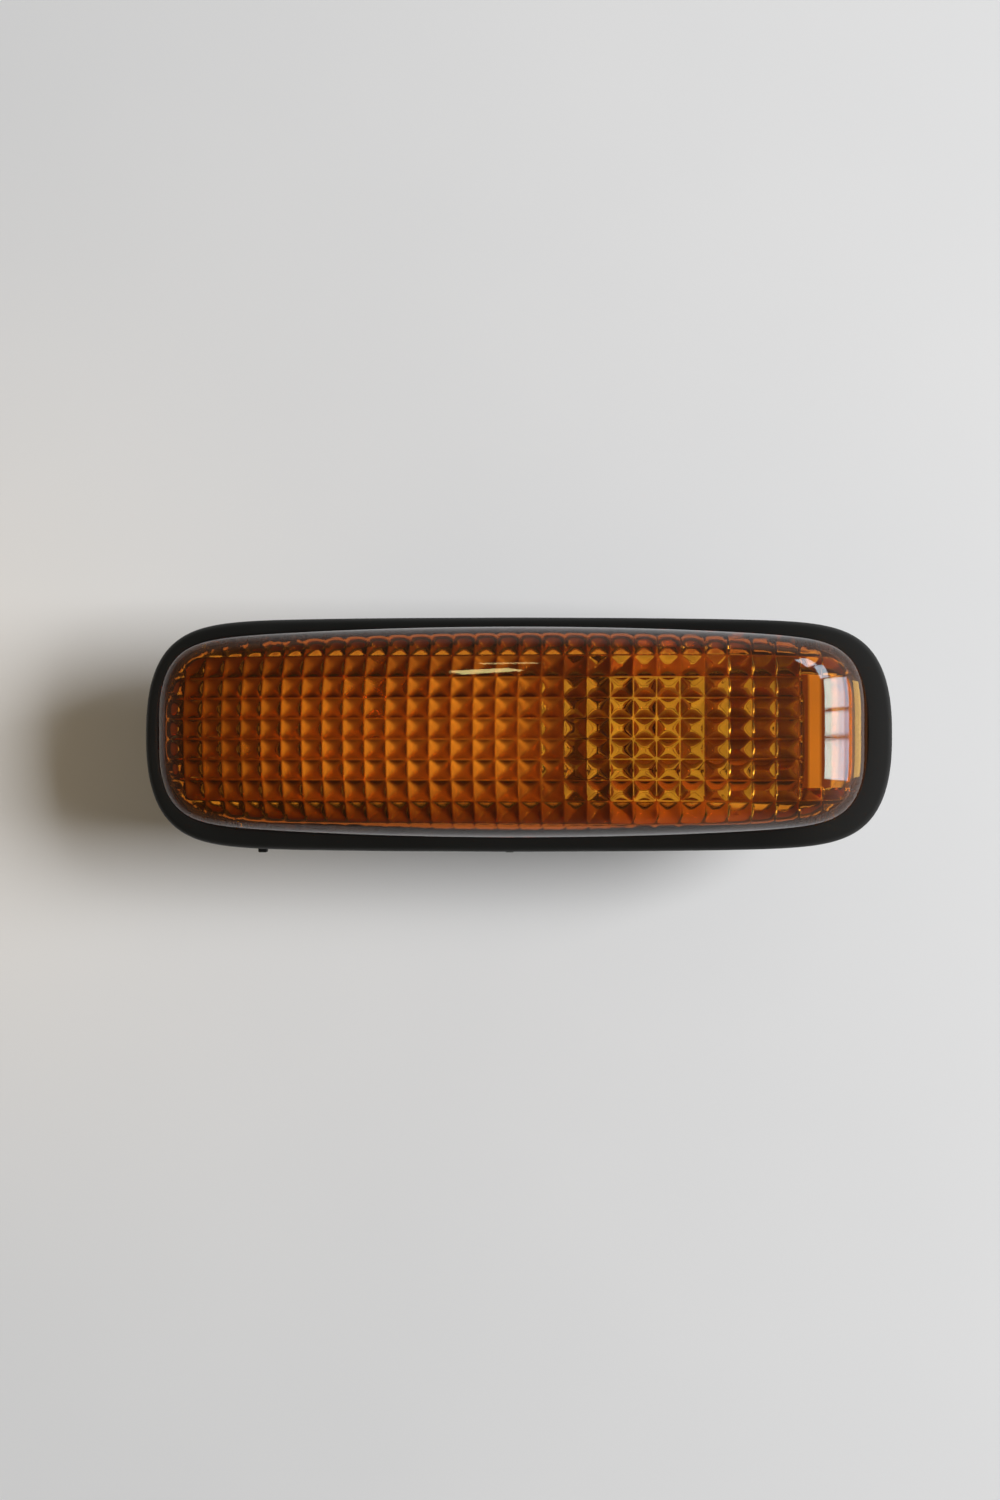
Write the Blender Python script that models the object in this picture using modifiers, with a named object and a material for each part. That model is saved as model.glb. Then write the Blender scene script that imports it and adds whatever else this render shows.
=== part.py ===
"""Flush-mounted turn signal indicator: amber lens, rubber panel gasket, lamp housing,
reflector, and a wedge bulb in a twist-lock holder."""

import math

import bmesh
import bpy
from mathutils import Matrix, Vector

# Frame: +X runs along the lamp to its tall clear end, +Y across it, +Z out through the lens.
# The origin is under the middle of the lamp, on the flat back of the bulb chamber.

# Gaps, in metres like every size below
CLEARANCE = 0.0003          # between pieces that touch or fit
OVERCUT = 0.001             # how far a cutter runs past the face it opens

# Rubber rim that shows round the lens, and the panel it seals
RIM_LENGTH = 0.105
RIM_WIDTH = 0.033
RIM_BOW = 0.045             # share of the half width lost at the ends of the long sides
RIM_END_POWER = 12.0
RIM_SIDE_POWER = 2.4
RIM_ROUNDING = 0.0005
GASKET_LIP = 0.0012         # thickness above and below the housing plate
GASKET_WRAP = 0.0012        # from the rim's outline in to the edge of the plate
NIB_LENGTH = 0.0018
NIB_REACH = 0.00035
NIB_HEIGHT = 0.0014
NIB_FIRST = -0.0356         # places along the lower edge
NIB_SECOND = -0.0013
PANEL_SHEET = 0.0022        # thickness of the panel that the hook and the spring grip
CUTOUT_END = 0.005          # from the rim's ends in to the ends of the hole in the panel
CUTOUT_ROOM = 0.0006        # from the chamber to the long sides of that hole
CUTOUT_CORNER = 0.007

# Lens: margins of rubber round it, then its own shape
MARGIN_LEFT = 0.00185
MARGIN_RIGHT = 0.00375
MARGIN_TOP = 0.00155
MARGIN_BOTTOM = 0.00213
LENS_BOW = 0.13
LENS_END_POWER = 16.0
LENS_SIDE_POWER = 2.4
LENS_CROWN = 0.0125         # height of the summit above the rim
LENS_WALL = 0.0022
SUMMIT_FROM_END = 0.0279    # from the summit to the tall end
SECTION_POWER = 4.5         # squareness of the dome across the lamp
OPTIC_ROW = 0.00277
OPTIC_ROW_LINE = -0.00065   # y of a line between two rows
OPTIC_COLUMN = 0.00271      # length of the first pillow, at the low end
OPTIC_GROWTH = 0.0000206    # how much longer each pillow is than the one before
OPTIC_FROM_END = 0.00435    # from the low end of the lens to the first column
OPTIC_DEPTH = 0.00045
OPTIC_CLEAR_LENGTH = 0.01075  # smooth window at the tall end, from the inside of the wall
OPTIC_CLEAR_WIDTH = 0.0155

# Seal under the lens foot
GROOVE_WIDTH = 0.0013
GROOVE_DEPTH = 0.0012

# Housing
PLATE_THICKNESS = 0.0026
CHAMBER_WALL = 0.0018
CHAMBER_CORNER = 0.004
PORT_PLACE = 0.001          # x of the outer face of the wall that takes the bulb holder
RIB_THICKNESS = 0.0015
RIB_FOOT = 0.015            # length of a rib's foot in front of the port wall
RIB_REACH = 0.025           # length of a rib along the plate
RIB_ROOM = 0.0004           # from the holder's flange
RIB_STEP = 0.0003           # from a rib out to the side of the chamber
HOOK_WIDTH = 0.010
HOOK_ROOT = 0.0025
HOOK_LIP = 0.0014
HOOK_REACH = 0.003          # under the panel
DRAIN_RADIUS = 0.00125
DRAIN_SPACING = 0.010
DRAIN_FROM_END = 0.006

# Reflector
REFLECTOR_WALL = 0.001
REFLECTOR_ROOM = 0.0005     # from the bowl to the chamber walls
BOWL_CORNER = 0.003
BOWL_DRAFT_PORT = 0.004     # how far the walls lean in from mouth to floor
BOWL_DRAFT_END = 0.008
BOWL_DRAFT_SIDE = 0.0006
PIN_RADIUS = 0.001
PIN_HEAD_RADIUS = 0.0017    # pressed flat under the plate
PIN_HEAD = 0.0006
PIN_FIRST = -0.034
PIN_SECOND = -0.012

# Bulb
BULB_RADIUS = 0.0051
BULB_LENGTH = 0.017         # envelope, from the holder's nose to its tip
BULB_GLASS = 0.0006
BULB_SHOULDER = 0.0032
BULB_NECK = 0.67            # share of the radius left where the envelope meets the wedge
BULB_ROOM = 0.0024          # from the envelope to the bowl floor
WEDGE_LENGTH = 0.008
WEDGE_WIDTH = 0.0092
WEDGE_THICKNESS = 0.0022
WEDGE_ROUNDING = 0.00044
LEAD_RADIUS = 0.00025
LEAD_SPACING = 0.0048
LEAD_FOLD = 0.0055          # length of lead folded back on the wedge
FILAMENT_FROM_NOSE = 0.0075
FILAMENT_WIRE = 0.00011
FILAMENT_RADIUS = 0.00055
FILAMENT_TURNS = 5

# Bulb holder
NOSE_RADIUS = 0.0064
NOSE_LENGTH = 0.009         # from the outer face of the port wall into the bowl
LUG_REACH = 0.0018
LUG_THICKNESS = 0.002
LUG_WIDTH = 0.004
LUG_ROOM = 0.0004
TURN_TO_UNLOCK = math.radians(45.0)
FLANGE_OVERLAP = 0.0004     # flange past the lug notches
FLANGE_THICKNESS = 0.002
STANDING_ROOM = 0.0016      # from the flange to the back plane and to the plate
HOLDER_SEAL = 0.0015
BODY_RADIUS = 0.007
BODY_LENGTH = 0.008
WING_THICKNESS = 0.002
WING_LENGTH = 0.005
SHROUD_LENGTH = 0.0125
SHROUD_WIDTH = 0.015
SHROUD_HEIGHT = 0.0096
SHROUD_WALL = 0.0012
SHROUD_ROUNDING = 0.0006
WEB_THICKNESS = 0.0055      # between the contact pockets and the connector

# Contacts
CONTACT_WIDTH = 0.0028
CONTACT_SHEET = 0.0005
CONTACT_FLARE = 0.0006
CONTACT_JOG = 0.003
BLADE_LENGTH = 0.0075       # standing in the connector

# Retaining spring
SPRING_SHEET = 0.0005
SPRING_WIDTH = 0.008
SPRING_ROOM = 0.0044        # from the chamber to the end of the hole in the panel
SPRING_ROOT_HEIGHT = 0.006
SPRING_SLOT = 0.002
SPRING_STRAIGHT = 0.004
SPRING_BULGE = 0.0008       # apex past the edge of the panel
SPRING_DROP = 0.0023        # apex below the panel
SPRING_TIP_RISE = 0.0009    # tip above the panel's back
BRACKET_WALL = 0.001

# Fineness of the curves
OUTLINE_POINTS = 64
DOME_RINGS = 12
ROUND_SIDES = 32
CORNER_STEPS = 4
TRACE_STEPS = 2000
LEAD_BEND_STEPS = 4
FILAMENT_STEPS = 10         # in a turn
SMOOTH_BELOW = math.radians(35.0)
ROUND_ABOVE = math.radians(50.0)
MERGE = 0.00001             # points closer than this are one

# Plan sizes worked out from those above
LENS_HALF_LENGTH = (RIM_LENGTH - MARGIN_LEFT - MARGIN_RIGHT) / 2
LENS_HALF_WIDTH = (RIM_WIDTH - MARGIN_TOP - MARGIN_BOTTOM) / 2
LENS_CENTRE = Vector(((MARGIN_LEFT - MARGIN_RIGHT) / 2, (MARGIN_BOTTOM - MARGIN_TOP) / 2))
LENS_SUMMIT = LENS_CENTRE.x + LENS_HALF_LENGTH - SUMMIT_FROM_END
OPTIC_START = LENS_CENTRE.x - LENS_HALF_LENGTH + OPTIC_FROM_END
RIM_SHAPE = (RIM_LENGTH / 2, RIM_WIDTH / 2, RIM_BOW, RIM_END_POWER, RIM_SIDE_POWER, Vector((0.0, 0.0)))
LENS_SHAPE = (LENS_HALF_LENGTH, LENS_HALF_WIDTH, LENS_BOW, LENS_END_POWER, LENS_SIDE_POWER, LENS_CENTRE)
CUTOUT_HALF_LENGTH = RIM_LENGTH / 2 - CUTOUT_END
LUG_RADIUS = NOSE_RADIUS + LUG_REACH
FLANGE_RADIUS = LUG_RADIUS + LUG_ROOM + FLANGE_OVERLAP
CHAMBER_HALF_WIDTH = FLANGE_RADIUS + RIB_ROOM + RIB_THICKNESS + RIB_STEP
CHAMBER_END = CUTOUT_HALF_LENGTH - SPRING_ROOM

# Levels worked out from those above
BOWL_FLOOR = CHAMBER_WALL + CLEARANCE + REFLECTOR_WALL
AXIS_HEIGHT = max(FLANGE_RADIUS + STANDING_ROOM, BOWL_FLOOR + BULB_ROOM + BULB_RADIUS)
PLATE_UNDER = AXIS_HEIGHT + FLANGE_RADIUS + STANDING_ROOM
PLATE_TOP = PLATE_UNDER + PLATE_THICKNESS
PANEL_SEAT = PLATE_UNDER - CLEARANCE - GASKET_LIP
RIM_TOP = PLATE_TOP + CLEARANCE + GASKET_LIP
LENS_FOOT = PLATE_TOP + CLEARANCE
SHELF_UNDER = PLATE_TOP + CLEARANCE
SHELF_TOP = SHELF_UNDER + REFLECTOR_WALL

# Stations along the bulb axis worked out from those above
PORT_INSIDE = PORT_PLACE + CHAMBER_WALL
LUG_START = PORT_INSIDE + CLEARANCE
LUG_END = LUG_START + LUG_THICKNESS
NOSE_END = PORT_PLACE + NOSE_LENGTH
SEAL_END = PORT_PLACE - CLEARANCE
SEAL_START = SEAL_END - HOLDER_SEAL
FLANGE_END = SEAL_START - CLEARANCE
FLANGE_START = FLANGE_END - FLANGE_THICKNESS
BODY_START = FLANGE_START - BODY_LENGTH
SHROUD_START = BODY_START - SHROUD_LENGTH
WEDGE_START = NOSE_END - WEDGE_LENGTH
BOWL_START = LUG_END + REFLECTOR_ROOM + REFLECTOR_WALL
BOWL_END = CHAMBER_END - CHAMBER_WALL - REFLECTOR_ROOM - REFLECTOR_WALL
BOWL_HALF_WIDTH = CHAMBER_HALF_WIDTH - CHAMBER_WALL - REFLECTOR_ROOM - REFLECTOR_WALL
LEAD_TOP = WEDGE_THICKNESS / 2 + CLEARANCE + LEAD_RADIUS
LEAF_HEIGHT = LEAD_TOP + LEAD_RADIUS + CLEARANCE + CONTACT_SHEET / 2
LEAD_LOOP = WEDGE_START - CLEARANCE - 2 * LEAD_RADIUS
LEAF_END = LEAD_LOOP - CLEARANCE
POCKET_END = LEAF_END - CONTACT_JOG - CLEARANCE
CONNECTOR_FLOOR = POCKET_END - WEB_THICKNESS
BLADE_END = CONNECTOR_FLOOR - BLADE_LENGTH

# Place of the spring's leaf, whose slot leaves half a wall to the chamber
SPRING_ROOT = CHAMBER_END + BRACKET_WALL / 2 + CLEARANCE + SPRING_SHEET / 2


def clear_scene():
    for item in list(bpy.data.objects):
        bpy.data.objects.remove(item, do_unlink=True)


def collection(name):
    group = bpy.data.collections.new(name)
    bpy.context.scene.collection.children.link(group)
    return group


def material(name, colour, roughness, metallic=0.0, transmission=0.0):
    surface = bpy.data.materials.new(name)
    surface.use_nodes = True
    shader = surface.node_tree.nodes['Principled BSDF']
    shader.inputs['Base Color'].default_value = (*colour, 1.0)
    shader.inputs['Roughness'].default_value = roughness
    shader.inputs['Metallic'].default_value = metallic
    shader.inputs['Transmission Weight'].default_value = transmission
    return surface


def solid(name, shape):
    """Turn a bmesh into an object whose faces point out."""
    bmesh.ops.recalc_face_normals(shape, faces=shape.faces)
    mesh = bpy.data.meshes.new(name)
    shape.to_mesh(mesh)
    shape.free()
    item = bpy.data.objects.new(name, mesh)
    parts.objects.link(item)
    return item


def operand(target, other, operation):
    """Join other to target, cut target with it or keep what they share; other is only a guide."""
    change = target.modifiers.new(other.name, 'BOOLEAN')
    change.operation = operation
    change.object = other
    parts.objects.unlink(other)
    cutters.objects.link(other)
    other.hide_render = True
    other.display_type = 'WIRE'


def join(target, *others):
    for other in others:
        operand(target, other, 'UNION')


def cut(target, *others):
    for other in others:
        operand(target, other, 'DIFFERENCE')


def finish(item, surface):
    """Give a piece its material and smooth shading between sharp edges."""
    item.data.materials.clear()
    item.data.materials.append(surface)
    if item.type == 'MESH':
        item.data.shade_smooth()
        item.data.set_sharp_from_angle(angle=SMOOTH_BELOW)
    return item


def rounded(item, width, segments=2):
    edge = item.modifiers.new('rounding', 'BEVEL')
    edge.width = width
    edge.segments = segments
    edge.limit_method = 'ANGLE'
    edge.angle_limit = ROUND_ABOVE


def block(name, low, high, corner=0.0, draft=(0.0, 0.0, 0.0)):
    """Box between two corners. Its upright edges are rounded, and its port end, far end and
    sides lean in towards the bottom by the draft."""
    shape = bmesh.new()
    bmesh.ops.create_cube(shape, size=1.0)
    for vertex in shape.verts:
        right, far, top = (value > 0.0 for value in vertex.co)
        vertex.co = Vector(((low[0], high[0])[right], (low[1], high[1])[far], (low[2], high[2])[top]))
        if not top:
            vertex.co.x += -draft[1] if right else draft[0]
            vertex.co.y += -draft[2] if far else draft[2]
    if corner:
        middle = (low[2] + high[2]) / 2
        upright = [edge for edge in shape.edges
                   if (edge.verts[0].co.z - middle) * (edge.verts[1].co.z - middle) < 0.0]
        bmesh.ops.bevel(shape, geom=upright, offset=corner, segments=CORNER_STEPS,
                        profile=0.5, affect='EDGES')
    return solid(name, shape)


def rod(name, start, end, radius, sides=ROUND_SIDES):
    """Round bar between two points."""
    start, end = Vector(start), Vector(end)
    along = end - start
    turn = along.to_track_quat('Z', 'Y').to_matrix().to_4x4()
    shape = bmesh.new()
    bmesh.ops.create_cone(shape, cap_ends=True, segments=sides, radius1=radius, radius2=radius,
                          depth=along.length, matrix=Matrix.Translation((start + end) / 2) @ turn)
    return solid(name, shape)


def axis_rod(name, start, end, radius):
    return rod(name, (start, 0.0, AXIS_HEIGHT), (end, 0.0, AXIS_HEIGHT), radius)


def mesh_of_curve(item, name):
    """Replace a curve object with its mesh, caps welded on."""
    bpy.context.view_layer.update()
    graph = bpy.context.evaluated_depsgraph_get()
    mesh = bpy.data.meshes.new_from_object(item.evaluated_get(graph))
    shape = bmesh.new()
    shape.from_mesh(mesh)
    bmesh.ops.remove_doubles(shape, verts=shape.verts, dist=MERGE)
    shape.transform(item.matrix_world)
    bpy.data.meshes.remove(mesh)
    bpy.data.objects.remove(item, do_unlink=True)
    return solid(name, shape)


def poly_curve(name, points, closed, dimensions):
    curve = bpy.data.curves.new(name + '_curve', 'CURVE')
    curve.dimensions = dimensions
    spline = curve.splines.new('POLY')
    spline.points.add(len(points) - 1)
    for place, point in zip(spline.points, points):
        place.co = (*point, *(0.0,) * (3 - len(point)), 1.0)
    spline.use_cyclic_u = closed
    item = bpy.data.objects.new(name + '_curve', curve)
    parts.objects.link(item)
    return item


def slab(name, outline, bottom, top):
    """Flat piece with an outline in plan."""
    item = poly_curve(name, outline, True, '2D')
    item.data.fill_mode = 'BOTH'
    item.data.extrude = (top - bottom) / 2
    item.location.z = (bottom + top) / 2
    return mesh_of_curve(item, name)


# Turns a shape drawn in plan so that its y becomes height and its z points to -Y
UPRIGHT = Matrix.Rotation(math.radians(90.0), 4, 'X')


def profile_slab(name, outline, near, far):
    """Flat piece with an outline in side view, from one y to another."""
    item = poly_curve(name, outline, True, '2D')
    item.data.fill_mode = 'BOTH'
    item.data.extrude = (far - near) / 2
    item.matrix_world = Matrix.Translation((0.0, (near + far) / 2, 0.0)) @ UPRIGHT
    return mesh_of_curve(item, name)


def strip(name, route, middle, width, sheet):
    """Bent sheet strip that follows a route in side view, centred on one y."""
    item = poly_curve(name, route, False, '2D')
    item.data.fill_mode = 'NONE'
    item.data.extrude = width / 2
    item.matrix_world = Matrix.Translation((0.0, middle, 0.0)) @ UPRIGHT
    piece = mesh_of_curve(item, name)
    thick = piece.modifiers.new('sheet', 'SOLIDIFY')
    thick.thickness = sheet
    thick.offset = 0.0
    thick.use_even_offset = True
    return piece


def wire(name, route, radius, resolution):
    item = poly_curve(name, route, False, '3D')
    item.data.bevel_depth = radius
    item.data.bevel_resolution = resolution
    item.data.use_fill_caps = True
    return mesh_of_curve(item, name)


def turned(name, profile):
    """Solid turned about the bulb axis; the profile runs from the far end back to the port."""
    shape = bmesh.new()
    corners = [shape.verts.new((radius, 0.0, along)) for along, radius in profile]
    for first, second in zip(corners, corners[1:]):
        shape.edges.new((first, second))
    mesh = bpy.data.meshes.new(name)
    shape.to_mesh(mesh)
    shape.free()
    item = bpy.data.objects.new(name, mesh)
    parts.objects.link(item)
    item.location.z = AXIS_HEIGHT
    item.rotation_euler.y = math.radians(90.0)
    sweep = item.modifiers.new('turned', 'SCREW')
    sweep.steps = ROUND_SIDES
    sweep.render_steps = ROUND_SIDES
    sweep.use_merge_vertices = True
    sweep.merge_threshold = MERGE
    return item


def half_width_at(x, shape, inset):
    """Half width of an outline at a place along it."""
    half_length, half_width, bow, end_power, side_power, centre = shape
    share = min(abs(x - centre.x) / (half_length - inset), 1.0)
    return (half_width - inset) * (1.0 - bow * share ** 2) * (1.0 - share ** end_power) ** (1.0 / side_power)


def outline(shape, inset=0.0):
    """Points of a bowed rectangle with full round corners, moved in by an inset. They lie closer
    together where the edge turns."""
    half_length, half_width, bow, end_power, side_power, centre = shape
    trace = []
    for step in range(TRACE_STEPS):
        angle = 2.0 * math.pi * step / TRACE_STEPS
        share = math.copysign(abs(math.cos(angle)) ** (2.0 / end_power), math.cos(angle))
        rise = math.copysign(abs(math.sin(angle)) ** (2.0 / side_power), math.sin(angle))
        trace.append(Vector((half_length * share, half_width * rise * (1.0 - bow * share ** 2))))
    around = 2.0 * (half_length + half_width)
    moved = []
    measure = [0.0]
    before = trace[0] - trace[-1]
    for step, point in enumerate(trace):
        following = trace[(step + 1) % TRACE_STEPS]
        along = following - point
        inward = Vector((-along.y - before.y, along.x + before.x)).normalized()
        moved.append(centre + point + inset * inward)
        measure.append(measure[-1] + along.length / around + abs(before.angle_signed(along)) / math.pi)
        before = along
    points = []
    step = 0
    for index in range(OUTLINE_POINTS):
        wanted = measure[-1] * (index + 0.5) / OUTLINE_POINTS
        while measure[step + 1] < wanted:
            step += 1
        share = (wanted - measure[step]) / (measure[step + 1] - measure[step])
        points.append(moved[step].lerp(moved[(step + 1) % TRACE_STEPS], share))
    return points


def dome_height(x, y, inset):
    """Height of the lens above the rim; with the wall as inset, of the hollow inside it."""
    ahead = x - LENS_SUMMIT
    reach = LENS_CENTRE.x + math.copysign(LENS_HALF_LENGTH - inset, ahead) - LENS_SUMMIT
    spine = math.sqrt(max(0.0, 1.0 - (ahead / reach) ** 2))
    half = half_width_at(x, LENS_SHAPE, inset)
    if half <= 0.0 or abs(y - LENS_CENTRE.y) >= half:
        return 0.0
    across = (1.0 - (abs(y - LENS_CENTRE.y) / half) ** SECTION_POWER) ** (1.0 / SECTION_POWER)
    return (LENS_CROWN - inset) * spine * across


def optic_place(column):
    """Place along the lens of a column line of the pillow optics, counted from the low end."""
    return OPTIC_START + OPTIC_COLUMN * column + OPTIC_GROWTH / 2 * column ** 2


def optic_column(x):
    """Column line at a place along the lens."""
    length_there = math.sqrt(OPTIC_COLUMN ** 2 + 2.0 * OPTIC_GROWTH * (x - OPTIC_START))
    return (length_there - OPTIC_COLUMN) / OPTIC_GROWTH


def optic_row(y):
    return (y - OPTIC_ROW_LINE) / OPTIC_ROW


def optic_depth(x, y):
    """How far the pillow optics stand in from the inside of the dome."""
    clear_from = LENS_CENTRE.x + LENS_HALF_LENGTH - LENS_WALL - OPTIC_CLEAR_LENGTH
    if x > clear_from and abs(y - LENS_CENTRE.y) < OPTIC_CLEAR_WIDTH / 2:
        return 0.0
    column = optic_column(x) % 1.0 * 2.0 - 1.0
    row = optic_row(y) % 1.0 * 2.0 - 1.0
    return OPTIC_DEPTH * (1.0 - (column ** 2 + row ** 2) / 2.0)


def make_lens():
    """Amber lens: a dome on a straight foot, hollowed, with pillow optics under its crown."""
    shape = bmesh.new()
    bmesh.ops.create_uvsphere(shape, u_segments=OUTLINE_POINTS, v_segments=2 * DOME_RINGS, radius=1.0)
    everything = shape.verts[:] + shape.edges[:] + shape.faces[:]
    bmesh.ops.bisect_plane(shape, geom=everything, dist=MERGE, plane_co=(0.0, 0.0, 0.0),
                           plane_no=(0.0, 0.0, -1.0), clear_outer=True)
    edge = outline(LENS_SHAPE)
    for vertex in shape.verts:
        turn = math.atan2(vertex.co.y, vertex.co.x) / (2.0 * math.pi)
        reach = Vector(vertex.co.xy).length
        place = LENS_CENTRE.lerp(edge[round(turn * OUTLINE_POINTS) % OUTLINE_POINTS], reach)
        on_edge = vertex.co.z < MERGE
        height = 0.0 if on_edge else dome_height(place.x, place.y, 0.0)
        vertex.co = (place.x, place.y, RIM_TOP + height)
    rim_edges = [side for side in shape.edges if side.is_boundary]
    skirt = bmesh.ops.extrude_edge_only(shape, edges=rim_edges)['geom']
    foot = [side for side in skirt if isinstance(side, bmesh.types.BMEdge) and side.is_boundary]
    for vertex in {vertex for side in foot for vertex in side.verts}:
        vertex.co.z = LENS_FOOT
    bmesh.ops.edgeloop_fill(shape, edges=foot)
    lens = solid('lens', shape)

    hollow = bmesh.new()
    first_column = math.floor(optic_column(LENS_CENTRE.x - LENS_HALF_LENGTH))
    columns = math.ceil(optic_column(LENS_CENTRE.x + LENS_HALF_LENGTH)) - first_column
    first_row = math.floor(optic_row(LENS_CENTRE.y - LENS_HALF_WIDTH))
    rows = math.ceil(optic_row(LENS_CENTRE.y + LENS_HALF_WIDTH)) - first_row
    bmesh.ops.create_grid(hollow, x_segments=2 * columns, y_segments=2 * rows, size=1.0)
    for vertex in hollow.verts:
        x = optic_place(first_column + columns * (vertex.co.x + 1.0) / 2)
        y = OPTIC_ROW_LINE + OPTIC_ROW * (first_row + rows * (vertex.co.y + 1.0) / 2)
        height = dome_height(x, y, LENS_WALL)
        vertex.co = (x, y, RIM_TOP + height - min(height / 2, optic_depth(x, y)))
    top_faces = hollow.faces[:]
    below = bmesh.ops.extrude_face_region(hollow, geom=top_faces)['geom']
    for vertex in (item for item in below if isinstance(item, bmesh.types.BMVert)):
        vertex.co.z = LENS_FOOT - 2 * OVERCUT
    hollow_top = solid('lens_hollow', hollow)
    inside = slab('lens_inside', outline(LENS_SHAPE, LENS_WALL), LENS_FOOT - OVERCUT, RIM_TOP + LENS_CROWN)
    operand(hollow_top, inside, 'INTERSECT')
    cut(lens, hollow_top)
    return finish(lens, material('amber_lens', (0.85, 0.24, 0.02), 0.05, transmission=0.8))


def make_lens_seal():
    """Thin rubber ring in the groove under the foot of the lens."""
    side = (LENS_WALL - GROOVE_WIDTH) / 2 + CLEARANCE
    bottom = PLATE_TOP - GROOVE_DEPTH + CLEARANCE
    top = LENS_FOOT - CLEARANCE
    seal = slab('lens_seal', outline(LENS_SHAPE, side), bottom, top)
    middle = outline(LENS_SHAPE, LENS_WALL - side)
    cut(seal, slab('lens_seal_middle', middle, bottom - OVERCUT, top + OVERCUT))
    return finish(seal, material('seal_rubber', (0.03, 0.03, 0.03), 0.7))


def cutout_block(name, low, high):
    half_width = CHAMBER_HALF_WIDTH + CUTOUT_ROOM
    return block(name, (-CUTOUT_HALF_LENGTH, -half_width, low), (CUTOUT_HALF_LENGTH, half_width, high),
                 CUTOUT_CORNER)


def make_panel_gasket():
    """Rubber rim: wraps the edge of the plate, seals on the panel below and on the lens above."""
    gasket = slab('panel_gasket', outline(RIM_SHAPE), PANEL_SEAT, RIM_TOP)
    rounded(gasket, RIM_ROUNDING)
    for number, place in enumerate((NIB_FIRST, NIB_SECOND)):
        edge = -half_width_at(place, RIM_SHAPE, 0.0)
        low = (place - NIB_LENGTH / 2, edge - NIB_REACH, PANEL_SEAT + RIM_ROUNDING)
        high = (place + NIB_LENGTH / 2, edge + GASKET_WRAP / 2, PANEL_SEAT + RIM_ROUNDING + NIB_HEIGHT)
        join(gasket, block(f'gasket_nib_{number}', low, high))
    plate_room = outline(RIM_SHAPE, GASKET_WRAP - CLEARANCE)
    cut(gasket, slab('gasket_plate_room', plate_room, PLATE_UNDER - CLEARANCE, PLATE_TOP + CLEARANCE))
    lens_room = outline(LENS_SHAPE, -CLEARANCE)
    cut(gasket, slab('gasket_lens_room', lens_room, PLATE_TOP, RIM_TOP + OVERCUT))
    cut(gasket, cutout_block('gasket_cutout', PANEL_SEAT - OVERCUT, PLATE_UNDER))
    return finish(gasket, material('rim_rubber', (0.025, 0.025, 0.025), 0.6))


def bowl_block(name, grow, top):
    """The bowl of the reflector, grown on all its sides."""
    low = (BOWL_START - grow, -BOWL_HALF_WIDTH - grow, BOWL_FLOOR - grow)
    high = (BOWL_END + grow, BOWL_HALF_WIDTH + grow, top)
    return block(name, low, high, BOWL_CORNER, (BOWL_DRAFT_PORT, BOWL_DRAFT_END, BOWL_DRAFT_SIDE))


def pins(name, radius, bottom, top):
    return [rod(f'{name}_{number}', (place, 0.0, bottom), (place, 0.0, top), radius, ROUND_SIDES // 2)
            for number, place in enumerate((PIN_FIRST, PIN_SECOND))]


def add_chamber(housing):
    """Bulb chamber under the plate, open at its top, with its port, lug notches and drains."""
    half = CHAMBER_HALF_WIDTH
    middle = (PLATE_UNDER + PLATE_TOP) / 2
    join(housing, block('chamber', (PORT_PLACE, -half, 0.0), (CHAMBER_END, half, middle), CHAMBER_CORNER))
    inside = half - CHAMBER_WALL
    cut(housing, block('chamber_inside', (PORT_INSIDE, -inside, CHAMBER_WALL),
                       (CHAMBER_END - CHAMBER_WALL, inside, PLATE_TOP + OVERCUT),
                       CHAMBER_CORNER - CHAMBER_WALL))
    port = axis_rod('port', PORT_PLACE - OVERCUT, PORT_INSIDE + OVERCUT, NOSE_RADIUS + LUG_ROOM)
    notch_reach = LUG_RADIUS + LUG_ROOM
    notch_half = LUG_WIDTH / 2 + LUG_ROOM
    notches = block('port_notches', (PORT_PLACE - OVERCUT, -notch_reach, -notch_half),
                    (PORT_INSIDE + OVERCUT, notch_reach, notch_half))
    notches.location.z = AXIS_HEIGHT
    notches.rotation_euler.x = -TURN_TO_UNLOCK
    cut(housing, port, notches)
    for number, side in enumerate((-1.0, 1.0)):
        place = (CHAMBER_END - DRAIN_FROM_END, side * DRAIN_SPACING / 2)
        cut(housing, rod(f'drain_{number}', (*place, -OVERCUT), (*place, CHAMBER_WALL + OVERCUT),
                         DRAIN_RADIUS, ROUND_SIDES // 2))


def add_ribs(housing):
    """Two ribs that flank the holder, brace the port wall and carry on the flat back."""
    inside = FLANGE_RADIUS + RIB_ROOM
    root = PORT_PLACE + CHAMBER_CORNER + RIB_THICKNESS
    top = (PLATE_UNDER + PLATE_TOP) / 2
    side_view = [(root, 0.0), (root, top), (PORT_PLACE - RIB_REACH, top),
                 (PORT_PLACE - RIB_REACH, PLATE_UNDER - RIB_THICKNESS), (PORT_PLACE - RIB_FOOT, 0.0)]
    join(housing, profile_slab('rib_left', side_view, -inside - RIB_THICKNESS, -inside),
         profile_slab('rib_right', side_view, inside, inside + RIB_THICKNESS))


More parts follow.
